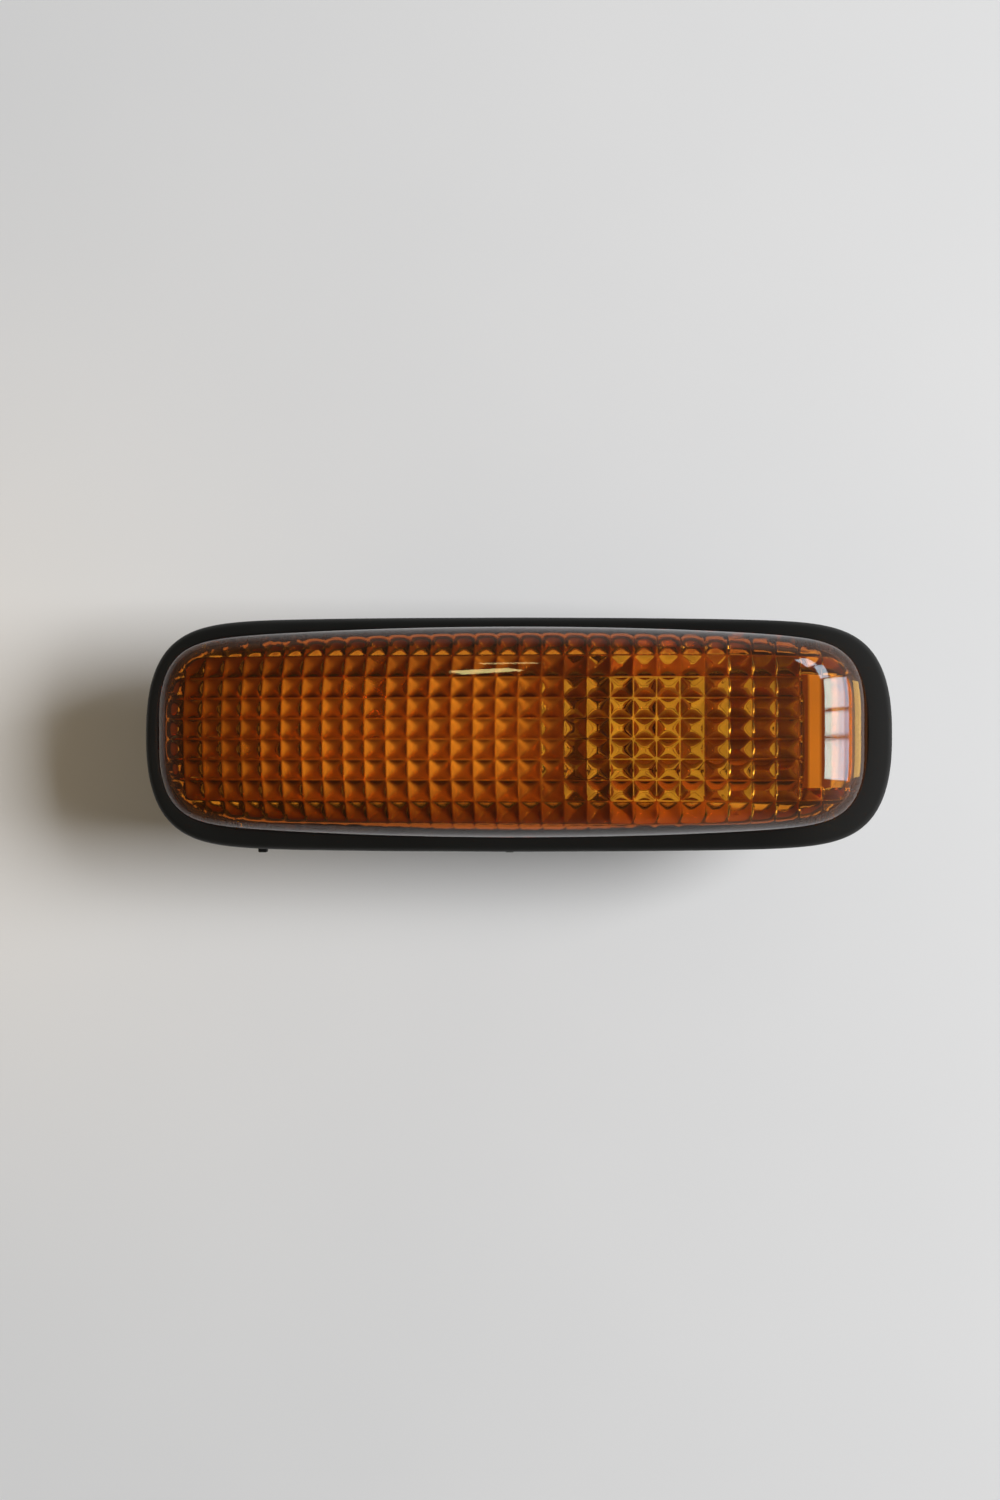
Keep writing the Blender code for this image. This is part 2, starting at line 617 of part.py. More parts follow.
def add_fixings(housing):
    """Hook that goes under the panel at one end, and the spring's bracket at the other."""
    lip_top = PANEL_SEAT - PANEL_SHEET - CLEARANCE
    lip_low = lip_top - HOOK_LIP
    face = CLEARANCE - CUTOUT_HALF_LENGTH
    top = (PLATE_UNDER + PLATE_TOP) / 2
    side_view = [(face - HOOK_REACH, lip_low), (face + HOOK_ROOT, lip_low), (face + HOOK_ROOT, top),
                 (face, top), (face, lip_top), (face - HOOK_REACH, lip_top)]
    join(housing, profile_slab('hook', side_view, -HOOK_WIDTH / 2, HOOK_WIDTH / 2))
    leaf = SPRING_SHEET / 2 + CLEARANCE
    half = SPRING_WIDTH / 2 + CLEARANCE
    slot_low = SPRING_ROOT_HEIGHT - CLEARANCE
    mouth = SPRING_ROOT_HEIGHT + SPRING_SLOT
    bracket_half = half + BRACKET_WALL
    join(housing, block('bracket', (CHAMBER_END - CHAMBER_WALL / 2, -bracket_half, slot_low - BRACKET_WALL),
                        (SPRING_ROOT + leaf + BRACKET_WALL, bracket_half, mouth)))
    cut(housing, block('bracket_slot', (SPRING_ROOT - leaf, -half, slot_low),
                       (SPRING_ROOT + leaf, half, mouth + OVERCUT)))


def make_housing():
    """Black moulding that carries every other piece."""
    housing = slab('housing', outline(RIM_SHAPE, GASKET_WRAP), PLATE_UNDER, PLATE_TOP)
    add_ribs(housing)
    add_chamber(housing)
    add_fixings(housing)
    side = (LENS_WALL - GROOVE_WIDTH) / 2
    groove = slab('seal_groove', outline(LENS_SHAPE, side), PLATE_TOP - GROOVE_DEPTH, PLATE_TOP + OVERCUT)
    middle = outline(LENS_SHAPE, LENS_WALL - side)
    cut(groove, slab('groove_middle', middle, PLATE_UNDER, PLATE_TOP + 2 * OVERCUT))
    cut(housing, groove)
    cut(housing, *pins('pin_hole', PIN_RADIUS + CLEARANCE, PLATE_UNDER - OVERCUT, PLATE_TOP + OVERCUT))
    return finish(housing, material('black_plastic', (0.03, 0.03, 0.032), 0.45))


def make_reflector():
    """Bright tray: a shelf over the plate, a bowl round the bulb, and two pins pressed flat under
    the plate that hold it."""
    reflector = slab('reflector', outline(LENS_SHAPE, LENS_WALL + CLEARANCE), SHELF_UNDER, SHELF_TOP)
    join(reflector, bowl_block('bowl_outside', REFLECTOR_WALL, (SHELF_UNDER + SHELF_TOP) / 2))
    cut(reflector, bowl_block('bowl_inside', 0.0, SHELF_TOP + OVERCUT))
    cut(reflector, axis_rod('nose_hole', BOWL_START - REFLECTOR_WALL - OVERCUT, NOSE_END + BULB_SHOULDER,
                            NOSE_RADIUS + LUG_ROOM))
    head_top = PLATE_UNDER - CLEARANCE
    head_low = head_top - PIN_HEAD
    join(reflector, *pins('pin', PIN_RADIUS, (head_low + head_top) / 2, (SHELF_UNDER + SHELF_TOP) / 2),
         *pins('pin_head', PIN_HEAD_RADIUS, head_low, head_top))
    return finish(reflector, material('bright_metal', (0.82, 0.82, 0.80), 0.15, metallic=1.0))


def envelope(name, wall):
    """Turned bulb shape, or with a wall the hollow inside it."""
    radius = BULB_RADIUS - wall
    start = NOSE_END + CLEARANCE + 2 * wall
    tip = NOSE_END + BULB_LENGTH - wall
    neck = start + BULB_SHOULDER
    profile = []
    quarter_steps = ROUND_SIDES // 4
    for step in range(quarter_steps + 1):
        angle = math.pi / 2 * step / quarter_steps
        profile.append((tip - radius + radius * math.cos(angle), radius * math.sin(angle)))
    profile += [(neck, radius), (start, radius * BULB_NECK), (start, 0.0)]
    return turned(name, profile)


def lead_line(side):
    """Place across the bulb of one of its two leads."""
    return side * LEAD_SPACING / 2


def make_bulb_glass():
    """Wedge-base envelope, hollow, with the two holes that its leads come through."""
    glass = envelope('bulb_glass', 0.0)
    wedge = block('wedge', (WEDGE_START, -WEDGE_WIDTH / 2, AXIS_HEIGHT - WEDGE_THICKNESS / 2),
                  (NOSE_END + BULB_SHOULDER / 2, WEDGE_WIDTH / 2, AXIS_HEIGHT + WEDGE_THICKNESS / 2))
    rounded(wedge, WEDGE_ROUNDING)
    join(glass, wedge)
    cut(glass, envelope('bulb_hollow', BULB_GLASS))
    for number, side in enumerate((-1.0, 1.0)):
        cut(glass, rod(f'lead_hole_{number}', (WEDGE_START - OVERCUT, lead_line(side), AXIS_HEIGHT),
                       (NOSE_END + BULB_SHOULDER, lead_line(side), AXIS_HEIGHT),
                       LEAD_RADIUS + CLEARANCE, ROUND_SIDES // 4))
    return finish(glass, material('bulb_glass', (0.95, 0.95, 0.95), 0.02, transmission=1.0))


def filament_line():
    return NOSE_END + FILAMENT_FROM_NOSE


def make_bulb_lead(name, side):
    """Wire that holds one end of the filament, goes out through the wedge and folds back on it."""
    y = lead_line(side)
    loop = LEAD_LOOP + LEAD_RADIUS
    tip = filament_line() + FILAMENT_RADIUS + 2 * LEAD_RADIUS
    route = [(tip, y, AXIS_HEIGHT), (NOSE_END, y, AXIS_HEIGHT), (loop + LEAD_RADIUS, y, AXIS_HEIGHT)]
    for step in range(LEAD_BEND_STEPS + 1):
        angle = math.pi * step / LEAD_BEND_STEPS
        rise = LEAD_TOP / 2 * (1.0 - math.cos(angle))
        route.append((loop + LEAD_RADIUS / 2 * (1.0 - math.sin(angle)), y, AXIS_HEIGHT + side * rise))
    route.append((WEDGE_START + LEAD_FOLD, y, AXIS_HEIGHT + side * LEAD_TOP))
    return finish(wire(name, route, LEAD_RADIUS, 2), material(name, (0.55, 0.53, 0.5), 0.3, metallic=1.0))


def make_filament():
    """Coiled wire between the two leads."""
    half = LEAD_SPACING / 2 - LEAD_RADIUS - CLEARANCE
    pitch = 2 * half / FILAMENT_TURNS
    route = []
    for step in range(FILAMENT_TURNS * FILAMENT_STEPS + 1):
        turn = step / FILAMENT_STEPS
        angle = 2.0 * math.pi * turn
        route.append(Vector((filament_line() + FILAMENT_RADIUS * math.cos(angle), -half + pitch * turn,
                             AXIS_HEIGHT + FILAMENT_RADIUS * math.sin(angle))))
    gaps = [(second - first).length for index, first in enumerate(route)
            for second in route[index + FILAMENT_STEPS // 2:]]
    print(f'filament: least gap to itself {(min(gaps) - 2 * FILAMENT_WIRE) * 1000:.2f} mm')
    coil = wire('bulb_filament', route, FILAMENT_WIRE, 1)
    return finish(coil, material('tungsten', (0.35, 0.34, 0.33), 0.4, metallic=1.0))


def make_bulb_holder():
    """Twist-lock holder: nose with two lugs, flange, gripped body and connector shroud."""
    holder = axis_rod('bulb_holder', BODY_START, NOSE_END, NOSE_RADIUS)
    join(holder, axis_rod('holder_flange', FLANGE_START, FLANGE_END, FLANGE_RADIUS),
         axis_rod('holder_body', BODY_START - OVERCUT, FLANGE_START + OVERCUT, BODY_RADIUS))
    join(holder, block('holder_lugs', (LUG_START, -LUG_RADIUS, AXIS_HEIGHT - LUG_WIDTH / 2),
                       (LUG_END, LUG_RADIUS, AXIS_HEIGHT + LUG_WIDTH / 2)))
    wing = FLANGE_RADIUS - FLANGE_OVERLAP
    join(holder, block('holder_wings', (FLANGE_START - WING_LENGTH, -WING_THICKNESS / 2, AXIS_HEIGHT - wing),
                       (FLANGE_START + OVERCUT, WING_THICKNESS / 2, AXIS_HEIGHT + wing)))
    half_width, half_height = SHROUD_WIDTH / 2, SHROUD_HEIGHT / 2
    shroud = block('shroud', (SHROUD_START, -half_width, AXIS_HEIGHT - half_height),
                   (BODY_START + BODY_LENGTH / 2, half_width, AXIS_HEIGHT + half_height))
    rounded(shroud, SHROUD_ROUNDING)
    join(holder, shroud)
    half_width -= SHROUD_WALL
    half_height -= SHROUD_WALL
    cut(holder, block('connector', (SHROUD_START - OVERCUT, -half_width, AXIS_HEIGHT - half_height),
                      (CONNECTOR_FLOOR, half_width, AXIS_HEIGHT + half_height)))
    half_width = WEDGE_WIDTH / 2 + CLEARANCE
    half_height = WEDGE_THICKNESS / 2 + CLEARANCE
    cut(holder, block('wedge_slot', (LEAD_LOOP - CLEARANCE, -half_width, AXIS_HEIGHT - half_height),
                      (NOSE_END + OVERCUT, half_width, AXIS_HEIGHT + half_height)))
    for number, side in enumerate((-1.0, 1.0)):
        half_width = CONTACT_WIDTH / 2 + CLEARANCE
        near, far = lead_line(side) - half_width, lead_line(side) + half_width
        sheet = CONTACT_SHEET / 2 + CLEARANCE
        levels = sorted((-side * sheet, side * (LEAF_HEIGHT + CONTACT_FLARE + sheet)))
        cut(holder, block(f'contact_pocket_{number}', (POCKET_END, near, AXIS_HEIGHT + levels[0]),
                          (NOSE_END + OVERCUT, far, AXIS_HEIGHT + levels[1])))
        cut(holder, block(f'blade_slot_{number}', (CONNECTOR_FLOOR - OVERCUT, near, AXIS_HEIGHT - sheet),
                          (POCKET_END + OVERCUT, far, AXIS_HEIGHT + sheet)))
    return finish(holder, material('grey_nylon', (0.30, 0.30, 0.29), 0.5))


def make_contact(name, side):
    """Brass strip: a leaf on one lead of the bulb, then a blade in the connector."""
    leaf = AXIS_HEIGHT + side * LEAF_HEIGHT
    flare = leaf + side * CONTACT_FLARE
    tip = NOSE_END - CLEARANCE
    route = [(tip, flare), (tip - 2 * CONTACT_FLARE, leaf), (LEAF_END, leaf),
             (LEAF_END - CONTACT_JOG, AXIS_HEIGHT), (BLADE_END, AXIS_HEIGHT)]
    contact = strip(name, route, lead_line(side), CONTACT_WIDTH, CONTACT_SHEET)
    return finish(contact, material(name, (0.72, 0.52, 0.20), 0.3, metallic=1.0))


def make_holder_seal():
    """Flat rubber ring between the holder's flange and the port wall."""
    seal = axis_rod('holder_seal', SEAL_START, SEAL_END, FLANGE_RADIUS)
    cut(seal, axis_rod('holder_seal_hole', SEAL_START - OVERCUT, SEAL_END + OVERCUT, NOSE_RADIUS + CLEARANCE))
    return finish(seal, material('port_rubber', (0.04, 0.04, 0.04), 0.7))


def make_retaining_spring():
    """Steel leaf that stands in the bracket and snaps behind the edge of the panel."""
    panel_back = PANEL_SEAT - PANEL_SHEET
    apex = (CUTOUT_HALF_LENGTH + SPRING_BULGE, panel_back - SPRING_DROP)
    tip = (CUTOUT_HALF_LENGTH - SPRING_BULGE, panel_back + SPRING_TIP_RISE)
    straight_top = SPRING_ROOT_HEIGHT + SPRING_STRAIGHT
    route = [(SPRING_ROOT, SPRING_ROOT_HEIGHT), (SPRING_ROOT, straight_top), apex, tip]
    spring = strip('retaining_spring', route, 0.0, SPRING_WIDTH, SPRING_SHEET)
    return finish(spring, material('spring_steel', (0.6, 0.6, 0.6), 0.3, metallic=1.0))


def pivot(name, place, *pieces):
    """Empty on a joint's axis that carries the pieces that move with it."""
    empty = bpy.data.objects.new(name, None)
    empty.location = place
    parts.objects.link(empty)
    bpy.context.view_layer.update()
    for piece in pieces:
        piece.parent = empty
        piece.matrix_parent_inverse = empty.matrix_world.inverted()
    return empty


clear_scene()
parts = collection('turn_signal_indicator')
cutters = collection('cutters')

make_lens()
make_lens_seal()
make_panel_gasket()
make_housing()
make_reflector()
bulb = [make_bulb_glass(), make_filament(), make_bulb_lead('bulb_lead_feed', 1.0),
        make_bulb_lead('bulb_lead_return', -1.0)]
holder = [make_bulb_holder(), make_contact('contact_feed', 1.0), make_contact('contact_return', -1.0),
          make_holder_seal()]
spring = make_retaining_spring()

bulb_pull = pivot('bulb_pull', (NOSE_END, 0.0, AXIS_HEIGHT), *bulb)
pivot('holder_turn', (PORT_PLACE, 0.0, AXIS_HEIGHT), bulb_pull, *holder)
pivot('spring_flex', (SPRING_ROOT, 0.0, SPRING_ROOT_HEIGHT), spring)
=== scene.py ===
import math

import bmesh
import bpy
from mathutils import Euler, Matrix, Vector


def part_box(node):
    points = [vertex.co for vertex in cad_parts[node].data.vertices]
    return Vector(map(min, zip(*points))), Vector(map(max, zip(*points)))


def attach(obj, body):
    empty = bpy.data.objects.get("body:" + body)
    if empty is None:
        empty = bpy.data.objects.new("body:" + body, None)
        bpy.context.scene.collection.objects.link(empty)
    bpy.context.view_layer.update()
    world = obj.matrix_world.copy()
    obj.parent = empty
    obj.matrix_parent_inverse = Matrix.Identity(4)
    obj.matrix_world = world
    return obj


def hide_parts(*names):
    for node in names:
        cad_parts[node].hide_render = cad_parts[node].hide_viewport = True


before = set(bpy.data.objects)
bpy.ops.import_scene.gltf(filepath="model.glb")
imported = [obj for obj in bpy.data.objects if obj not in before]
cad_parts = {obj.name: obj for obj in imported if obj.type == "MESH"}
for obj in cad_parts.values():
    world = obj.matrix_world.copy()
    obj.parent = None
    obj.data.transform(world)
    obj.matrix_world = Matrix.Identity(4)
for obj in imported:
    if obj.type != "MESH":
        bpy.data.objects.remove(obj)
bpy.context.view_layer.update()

# Camera: straight above the lamp, which lies on its back with its lens up, as in the photograph.
# The rim's ends and its middle row fix the scale and the place of the frame.
PHOTO_WIDTH = 1000
PHOTO_HEIGHT = 1500
RIM_LEFT_PIXEL = 144.8
RIM_RIGHT_PIXEL = 893.4
RIM_ROW_PIXEL = 734.6
CAMERA_ABOVE_RIM = 0.26
CAMERA_NEAREST = 0.01

rim_low, rim_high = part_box("panel_gasket")
pixel = (rim_high.x - rim_low.x) / (RIM_RIGHT_PIXEL - RIM_LEFT_PIXEL)
camera_data = bpy.data.cameras.new("camera")
camera_data.sensor_fit = "HORIZONTAL"
camera_data.lens = camera_data.sensor_width * CAMERA_ABOVE_RIM / (PHOTO_WIDTH * pixel)
camera_data.clip_start = CAMERA_NEAREST
camera = bpy.data.objects.new("camera", camera_data)
camera.location = (
    (rim_low.x + rim_high.x) / 2 + (PHOTO_WIDTH / 2 - (RIM_LEFT_PIXEL + RIM_RIGHT_PIXEL) / 2) * pixel,
    (RIM_ROW_PIXEL - PHOTO_HEIGHT / 2) * pixel,
    rim_high.z + CAMERA_ABOVE_RIM,
)
bpy.context.scene.collection.objects.link(camera)
bpy.context.scene.camera = camera

# Housing: one black polypropylene moulding that carries every other piece. It has the plate under
# the rim, the bulb chamber with its port, two ribs, the hook and the bracket of the spring.
HOUSING_EDGE = 0.00022
SMOOTH_BELOW = 35.0
ROUND_ABOVE = math.radians(40.0)
FLAT_BELOW = math.radians(1.0)
SOLID_WELD = 0.000002


def add_node(tree, kind, **settings):
    node = tree.nodes.new(kind)
    for name, value in settings.items():
        if name in node.inputs:
            node.inputs[name].default_value = value
        else:
            setattr(node, name, value)
    return node


def noise(tree, scale, detail=3.0, stretch=(1.0, 1.0, 1.0)):
    """Cloudy pattern in the piece's own coordinates; scale is in features per metre."""
    place = add_node(tree, "ShaderNodeTexCoord")
    mapping = add_node(tree, "ShaderNodeMapping", Scale=stretch)
    cloud = add_node(tree, "ShaderNodeTexNoise", Scale=scale, Detail=detail)
    tree.links.new(place.outputs["Object"], mapping.inputs["Vector"])
    tree.links.new(mapping.outputs["Vector"], cloud.inputs["Vector"])
    return cloud.outputs["Fac"]


def spread(tree, value, low, high, start=0.3, end=0.7):
    """Stretch a pattern over a range of values."""
    span = add_node(tree, "ShaderNodeMapRange")
    tree.links.new(value, span.inputs["Value"])
    span.inputs["From Min"].default_value = start
    span.inputs["From Max"].default_value = end
    span.inputs["To Min"].default_value = low
    span.inputs["To Max"].default_value = high
    return span.outputs["Result"]


def blend_colours(tree, share, first, second):
    """Mix of two colours, each given as three values or as the output of a node."""
    mix = add_node(tree, "ShaderNodeMix", data_type="RGBA")
    tree.links.new(share, mix.inputs[0])
    for slot, colour in ((6, first), (7, second)):
        if isinstance(colour, tuple):
            mix.inputs[slot].default_value = (*colour, 1.0)
        else:
            tree.links.new(colour, mix.inputs[slot])
    return mix.outputs[2]


def relief(tree, shader, height, depth, strength=1.0):
    """Raise the surface by a pattern; depth is in metres."""
    bump = add_node(tree, "ShaderNodeBump", Strength=strength, Distance=depth)
    tree.links.new(height, bump.inputs["Height"])
    tree.links.new(bump.outputs["Normal"], shader.inputs["Normal"])


def tone(tree, shader, pattern, colours, roughness):
    """Let the colour and the roughness wander between two values with a pattern."""
    tree.links.new(blend_colours(tree, pattern, *colours), shader.inputs["Base Color"])
    tree.links.new(spread(tree, pattern, *roughness), shader.inputs["Roughness"])


def new_finish(name):
    finish = bpy.data.materials.new(name)
    finish.use_nodes = True
    return finish, finish.node_tree, finish.node_tree.nodes["Principled BSDF"]


def add_piece(name, shape, finish, body, node, smooth_below=SMOOTH_BELOW):
    """Make an object of a mesh that stands for a node, and let it ride on its body."""
    mesh = bpy.data.meshes.new(name)
    shape.to_mesh(mesh)
    shape.free()
    mesh.materials.append(finish)
    mesh.shade_smooth()
    mesh.set_sharp_from_angle(angle=math.radians(smooth_below))
    piece = bpy.data.objects.new(name, mesh)
    bpy.context.scene.collection.objects.link(piece)
    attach(piece, body)
    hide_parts(node)
    return piece


def softened_copy(node):
    """The solid of a node with its triangles joined into flat faces, ready for rounded edges."""
    shape = bmesh.new()
    shape.from_mesh(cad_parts[node].data)
    bmesh.ops.remove_doubles(shape, verts=shape.verts, dist=SOLID_WELD)
    bmesh.ops.dissolve_limit(shape, angle_limit=FLAT_BELOW, verts=shape.verts, edges=shape.edges)
    return shape


def round_edges(piece, width, segments=2):
    edge = piece.modifiers.new("rounded_edges", "BEVEL")
    edge.width = width
    edge.segments = segments
    edge.limit_method = "ANGLE"
    edge.angle_limit = ROUND_ABOVE
    edge.harden_normals = True


black_plastic, tree, shader = new_finish("black_plastic")
tone(tree, shader, noise(tree, scale=180.0, detail=4.0),
     colours=((0.010, 0.010, 0.011), (0.022, 0.022, 0.023)), roughness=(0.36, 0.52))
relief(tree, shader, noise(tree, scale=2600.0, detail=2.0), depth=0.00003, strength=0.6)

housing = add_piece("housing_moulding", softened_copy("housing"), black_plastic, "lamp_body",
                    "housing")
round_edges(housing, HOUSING_EDGE)

# Lens seal: a thin ring of soft black rubber that lies in the groove of the plate, under the
# foot of the lens.
SEAL_EDGE = 0.00025

seal_rubber, tree, shader = new_finish("seal_rubber")
tone(tree, shader, noise(tree, scale=400.0),
     colours=((0.012, 0.012, 0.012), (0.026, 0.026, 0.026)), roughness=(0.6, 0.75))
lens_seal = add_piece("lens_seal_ring", softened_copy("lens_seal"), seal_rubber, "lamp_body",
                      "lens_seal")
round_edges(lens_seal, SEAL_EDGE)

# Reflector: a plastic tray with a bright metal coat. Its shelf lies on the plate and is held by
# two pins pressed flat, and its bowl hangs in the bulb chamber.
TRAY_EDGE = 0.00018
# The coat's colour is painted light and shade. The bright patches on the shelf, on the top of the end
# wall and on the floor of the bowl are painted light, and the darker coat round them and on the walls is
# painted shade.
PAINTED_SHADE_COAT = (0.21, 0.090, 0.036)
PAINTED_LIGHT_COAT = (0.86, 0.80, 0.66)
FLOOR_PAINTED_LIGHT = (0.54, 0.74, 0.50)
WALL_PAINTED_SHADE = (0.19, 0.062, 0.025)
SHELF_LIGHT_ZONE = ((-0.0495, -0.030), (-0.001, 0.008))
SHELF_LIGHT_SIDE_FADE = (0.0055, 0.0105)
END_LIGHT_ZONE = ((0.0399, 0.0403), (0.0416, 0.0421))
END_LIGHT_SIDE_FADE = (0.0082, 0.0090)
BULB_LIGHT_ZONE = ((0.0139, 0.0143), (0.0277, 0.0281))
FLOOR_TO_SHELF = (0.004, 0.02)
WALL_TO_FLAT = (0.6, 0.95)
METAL_FROM = (0.0035, 0.0045)


def axes_of(tree, source, output):
    """The three parts of a vector that a node gives."""
    parts = add_node(tree, "ShaderNodeSeparateXYZ")
    tree.links.new(add_node(tree, source).outputs[output], parts.inputs["Vector"])
    return parts


def math_node(tree, operation, *values):
    node = add_node(tree, "ShaderNodeMath", operation=operation)
    for slot, value in zip(node.inputs, values):
        tree.links.new(value, slot)
    return node.outputs["Value"]


def between(tree, value, start, end):
    """1 inside a zone and 0 outside it, with a fade at its start and at its end."""
    return math_node(tree, "MULTIPLY", spread(tree, value, 0.0, 1.0, *start),
                     spread(tree, value, 1.0, 0.0, *end))


bright_metal, tree, shader = new_finish("bright_metal")
clouds = noise(tree, scale=120.0, detail=4.0)
facing = axes_of(tree, "ShaderNodeNewGeometry", "Normal")
place = axes_of(tree, "ShaderNodeTexCoord", "Object")
from_middle = math_node(tree, "ABSOLUTE", place.outputs["Y"])
# Painted light: bright patches on the shelf and on the top of the end wall, and a yellower one on the
# floor of the bowl.
shelf_light_part = math_node(tree, "MULTIPLY", between(tree, place.outputs["X"], *SHELF_LIGHT_ZONE),
                       spread(tree, from_middle, 1.0, 0.0, *SHELF_LIGHT_SIDE_FADE))
end_light_part = math_node(tree, "MULTIPLY", between(tree, place.outputs["X"], *END_LIGHT_ZONE),
                     spread(tree, from_middle, 1.0, 0.0, *END_LIGHT_SIDE_FADE))
shelf_and_end_light = blend_colours(tree, math_node(tree, "ADD", shelf_light_part, end_light_part), PAINTED_SHADE_COAT, PAINTED_LIGHT_COAT)
floor_light = blend_colours(tree, between(tree, place.outputs["X"], *BULB_LIGHT_ZONE), PAINTED_SHADE_COAT, FLOOR_PAINTED_LIGHT)
on_shelf = spread(tree, place.outputs["Z"], 0.0, 1.0, *FLOOR_TO_SHELF)
coat = blend_colours(tree, on_shelf, floor_light, shelf_and_end_light)
flat = spread(tree, facing.outputs["Z"], 0.0, 1.0, *WALL_TO_FLAT)
# Walls that face sideways are painted darker than the flat parts: painted shade.
tree.links.new(blend_colours(tree, flat, WALL_PAINTED_SHADE, coat), shader.inputs["Base Color"])
tree.links.new(spread(tree, place.outputs["Z"], 0.0, 1.0, *METAL_FROM), shader.inputs["Metallic"])
tree.links.new(spread(tree, clouds, 0.27, 0.32), shader.inputs["Roughness"])
reflector = add_piece("reflector_tray", softened_copy("reflector"), bright_metal, "lamp_body",
                      "reflector")
round_edges(reflector, TRAY_EDGE)

# Lens: one clear amber moulding, a dome on a straight foot that stands on the plate. Its outside
# is smooth, and its inside has rows of pillow optics and a smooth window at the tall end.
LENS_BOW = 0.13
LENS_END_POWER = 16.0
LENS_SIDE_POWER = 2.4
DOME_END_POWER = 2.0
LENS_WALL = 0.0022
LENS_SIDE = 0.0016
LENS_FOOT_TAPER = 0.0003
SUMMIT_FROM_END = 0.0279
SECTION_POWER = 4.5
HOLLOW_POWER = 8.0
HOLLOW_END_POWER = 2.4
OPTIC_ROW = 0.00277
OPTIC_ROW_LINE = -0.00065
OPTIC_COLUMN = 0.00271
OPTIC_GROWTH = 0.0000206
OPTIC_FROM_END = 0.00435
OPTIC_CREST_ANGLE = math.radians(25.0)
OPTIC_EDGE_ANGLE = math.radians(42.0)
OPTIC_CREST_EASE = 0.07
OPTIC_VALLEY_EASE = 0.07
OPTIC_HIP_EASE = 0.0003
OPTIC_STEEPER = 0.85
OPTIC_LEAN = -0.45
TALL_END_START = 0.0265
TALL_END_FADE = 0.001
OPTIC_FADE = 0.0012
OPTIC_BOW = 0.0013
OPTIC_STEPS = 14
OPTIC_PACKING = 1.6
FACET_STEPS = 200
SLOPE_STEP = 0.0001
CLEAR_LENGTH = 0.0085
CLEAR_WIDTH = 0.0155
DOME_POINTS = 288
DOME_RINGS = 44
OUTLINE_FINENESS = 20
DOME_WELD = 0.000001
HOLLOW_WELD = 0.00001
AMBER = ((0.95, 0.305, 0.019), (0.98, 0.335, 0.023))
# The steep walls of the lens, away from its tall end, are painted a darker amber: painted shade along
# the lens's edge.
EDGE_PAINTED_SHADE = (0.24, 0.034, 0.003)
EDGE_SHADE_END = (0.040, 0.044)
STEEP_FADE = (0.42, 0.62)
LENS_CLARITY = 0.99
LENS_IOR = 1.49

lens_low, lens_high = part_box("lens")
lens_middle = (lens_low + lens_high) / 2
lens_half = (lens_high - lens_low) / 2
dome_foot = rim_high.z
dome_crown = lens_high.z - dome_foot
summit = lens_high.x - SUMMIT_FROM_END
optic_start = lens_low.x + OPTIC_FROM_END
clear_start = lens_high.x - LENS_WALL - CLEAR_LENGTH


def outline(half_length, half_width, bow, end_power, side_power, middle, inset, count):
    """Points of a bowed rectangle with full round corners, moved in by an inset. They lie closer
    together where the edge turns."""
    steps = OUTLINE_FINENESS * count
    trace = []
    for step in range(steps):
        angle = 2.0 * math.pi * step / steps
        share = math.copysign(abs(math.cos(angle)) ** (2.0 / end_power), math.cos(angle))
        rise = math.copysign(abs(math.sin(angle)) ** (2.0 / side_power), math.sin(angle))
        trace.append(Vector((half_length * share, half_width * rise * (1.0 - bow * share ** 2))))
    around = 2.0 * (half_length + half_width)
    moved = []
    measure = [0.0]
    before = trace[0] - trace[-1]
    for step, point in enumerate(trace):
        along = trace[(step + 1) % steps] - point
        inward = Vector((-along.y - before.y, along.x + before.x)).normalized()
        moved.append(Vector(middle.xy) + point + inset * inward)
        measure.append(measure[-1] + along.length / around + abs(before.angle_signed(along)) / math.pi)
        before = along
    points = []
    step = 0
    for index in range(count):
        wanted = measure[-1] * (index + 0.5) / count
        while measure[step + 1] < wanted:
            step += 1
        share = (wanted - measure[step]) / (measure[step + 1] - measure[step])
        points.append(moved[step].lerp(moved[(step + 1) % steps], share))
    return points


def lens_outline(inset, count):
    return outline(lens_half.x, lens_half.y, LENS_BOW, LENS_END_POWER, LENS_SIDE_POWER, lens_middle,
                   inset, count)


def lens_half_width(x, inset):
    share = min(abs(x - lens_middle.x) / (lens_half.x - inset), 1.0)
    bowed = (lens_half.y - inset) * (1.0 - LENS_BOW * share ** 2)
    return bowed * (1.0 - share ** LENS_END_POWER) ** (1.0 / LENS_SIDE_POWER)


def dome_height(x, y, inset):
    """Height of the dome above the rim; with the wall as inset, of the hollow inside it."""
    ahead = x - summit
    reach = lens_middle.x + math.copysign(lens_half.x - inset, ahead) - summit
    end_power = HOLLOW_END_POWER if inset and ahead > 0.0 else DOME_END_POWER
    spine = max(0.0, 1.0 - (ahead / reach) ** end_power) ** (1.0 / end_power)
    half = lens_half_width(x, inset)
    if half <= 0.0 or abs(y - lens_middle.y) >= half:
        return 0.0
    power = HOLLOW_POWER if inset else SECTION_POWER
    across = (1.0 - (abs(y - lens_middle.y) / half) ** power) ** (1.0 / power)
    return (dome_crown - (LENS_WALL if inset else 0.0)) * spine * across


def optic_column(x):
    """Column line of the optics at a place along the lens, counted from the low end."""
    length_there = math.sqrt(OPTIC_COLUMN ** 2 + 2.0 * OPTIC_GROWTH * (x - optic_start))
    return (length_there - OPTIC_COLUMN) / OPTIC_GROWTH


def optic_row(y):
    return (y - OPTIC_ROW_LINE) / OPTIC_ROW


def packed(line):
    """Place of a grid line in its pillow, moved towards the pillow's edge."""
    share = line % 1.0 * 2.0 - 1.0
    moved = math.copysign(1.0 - (1.0 - abs(share)) ** OPTIC_PACKING, share)
    return math.floor(line) + (1.0 + moved) / 2


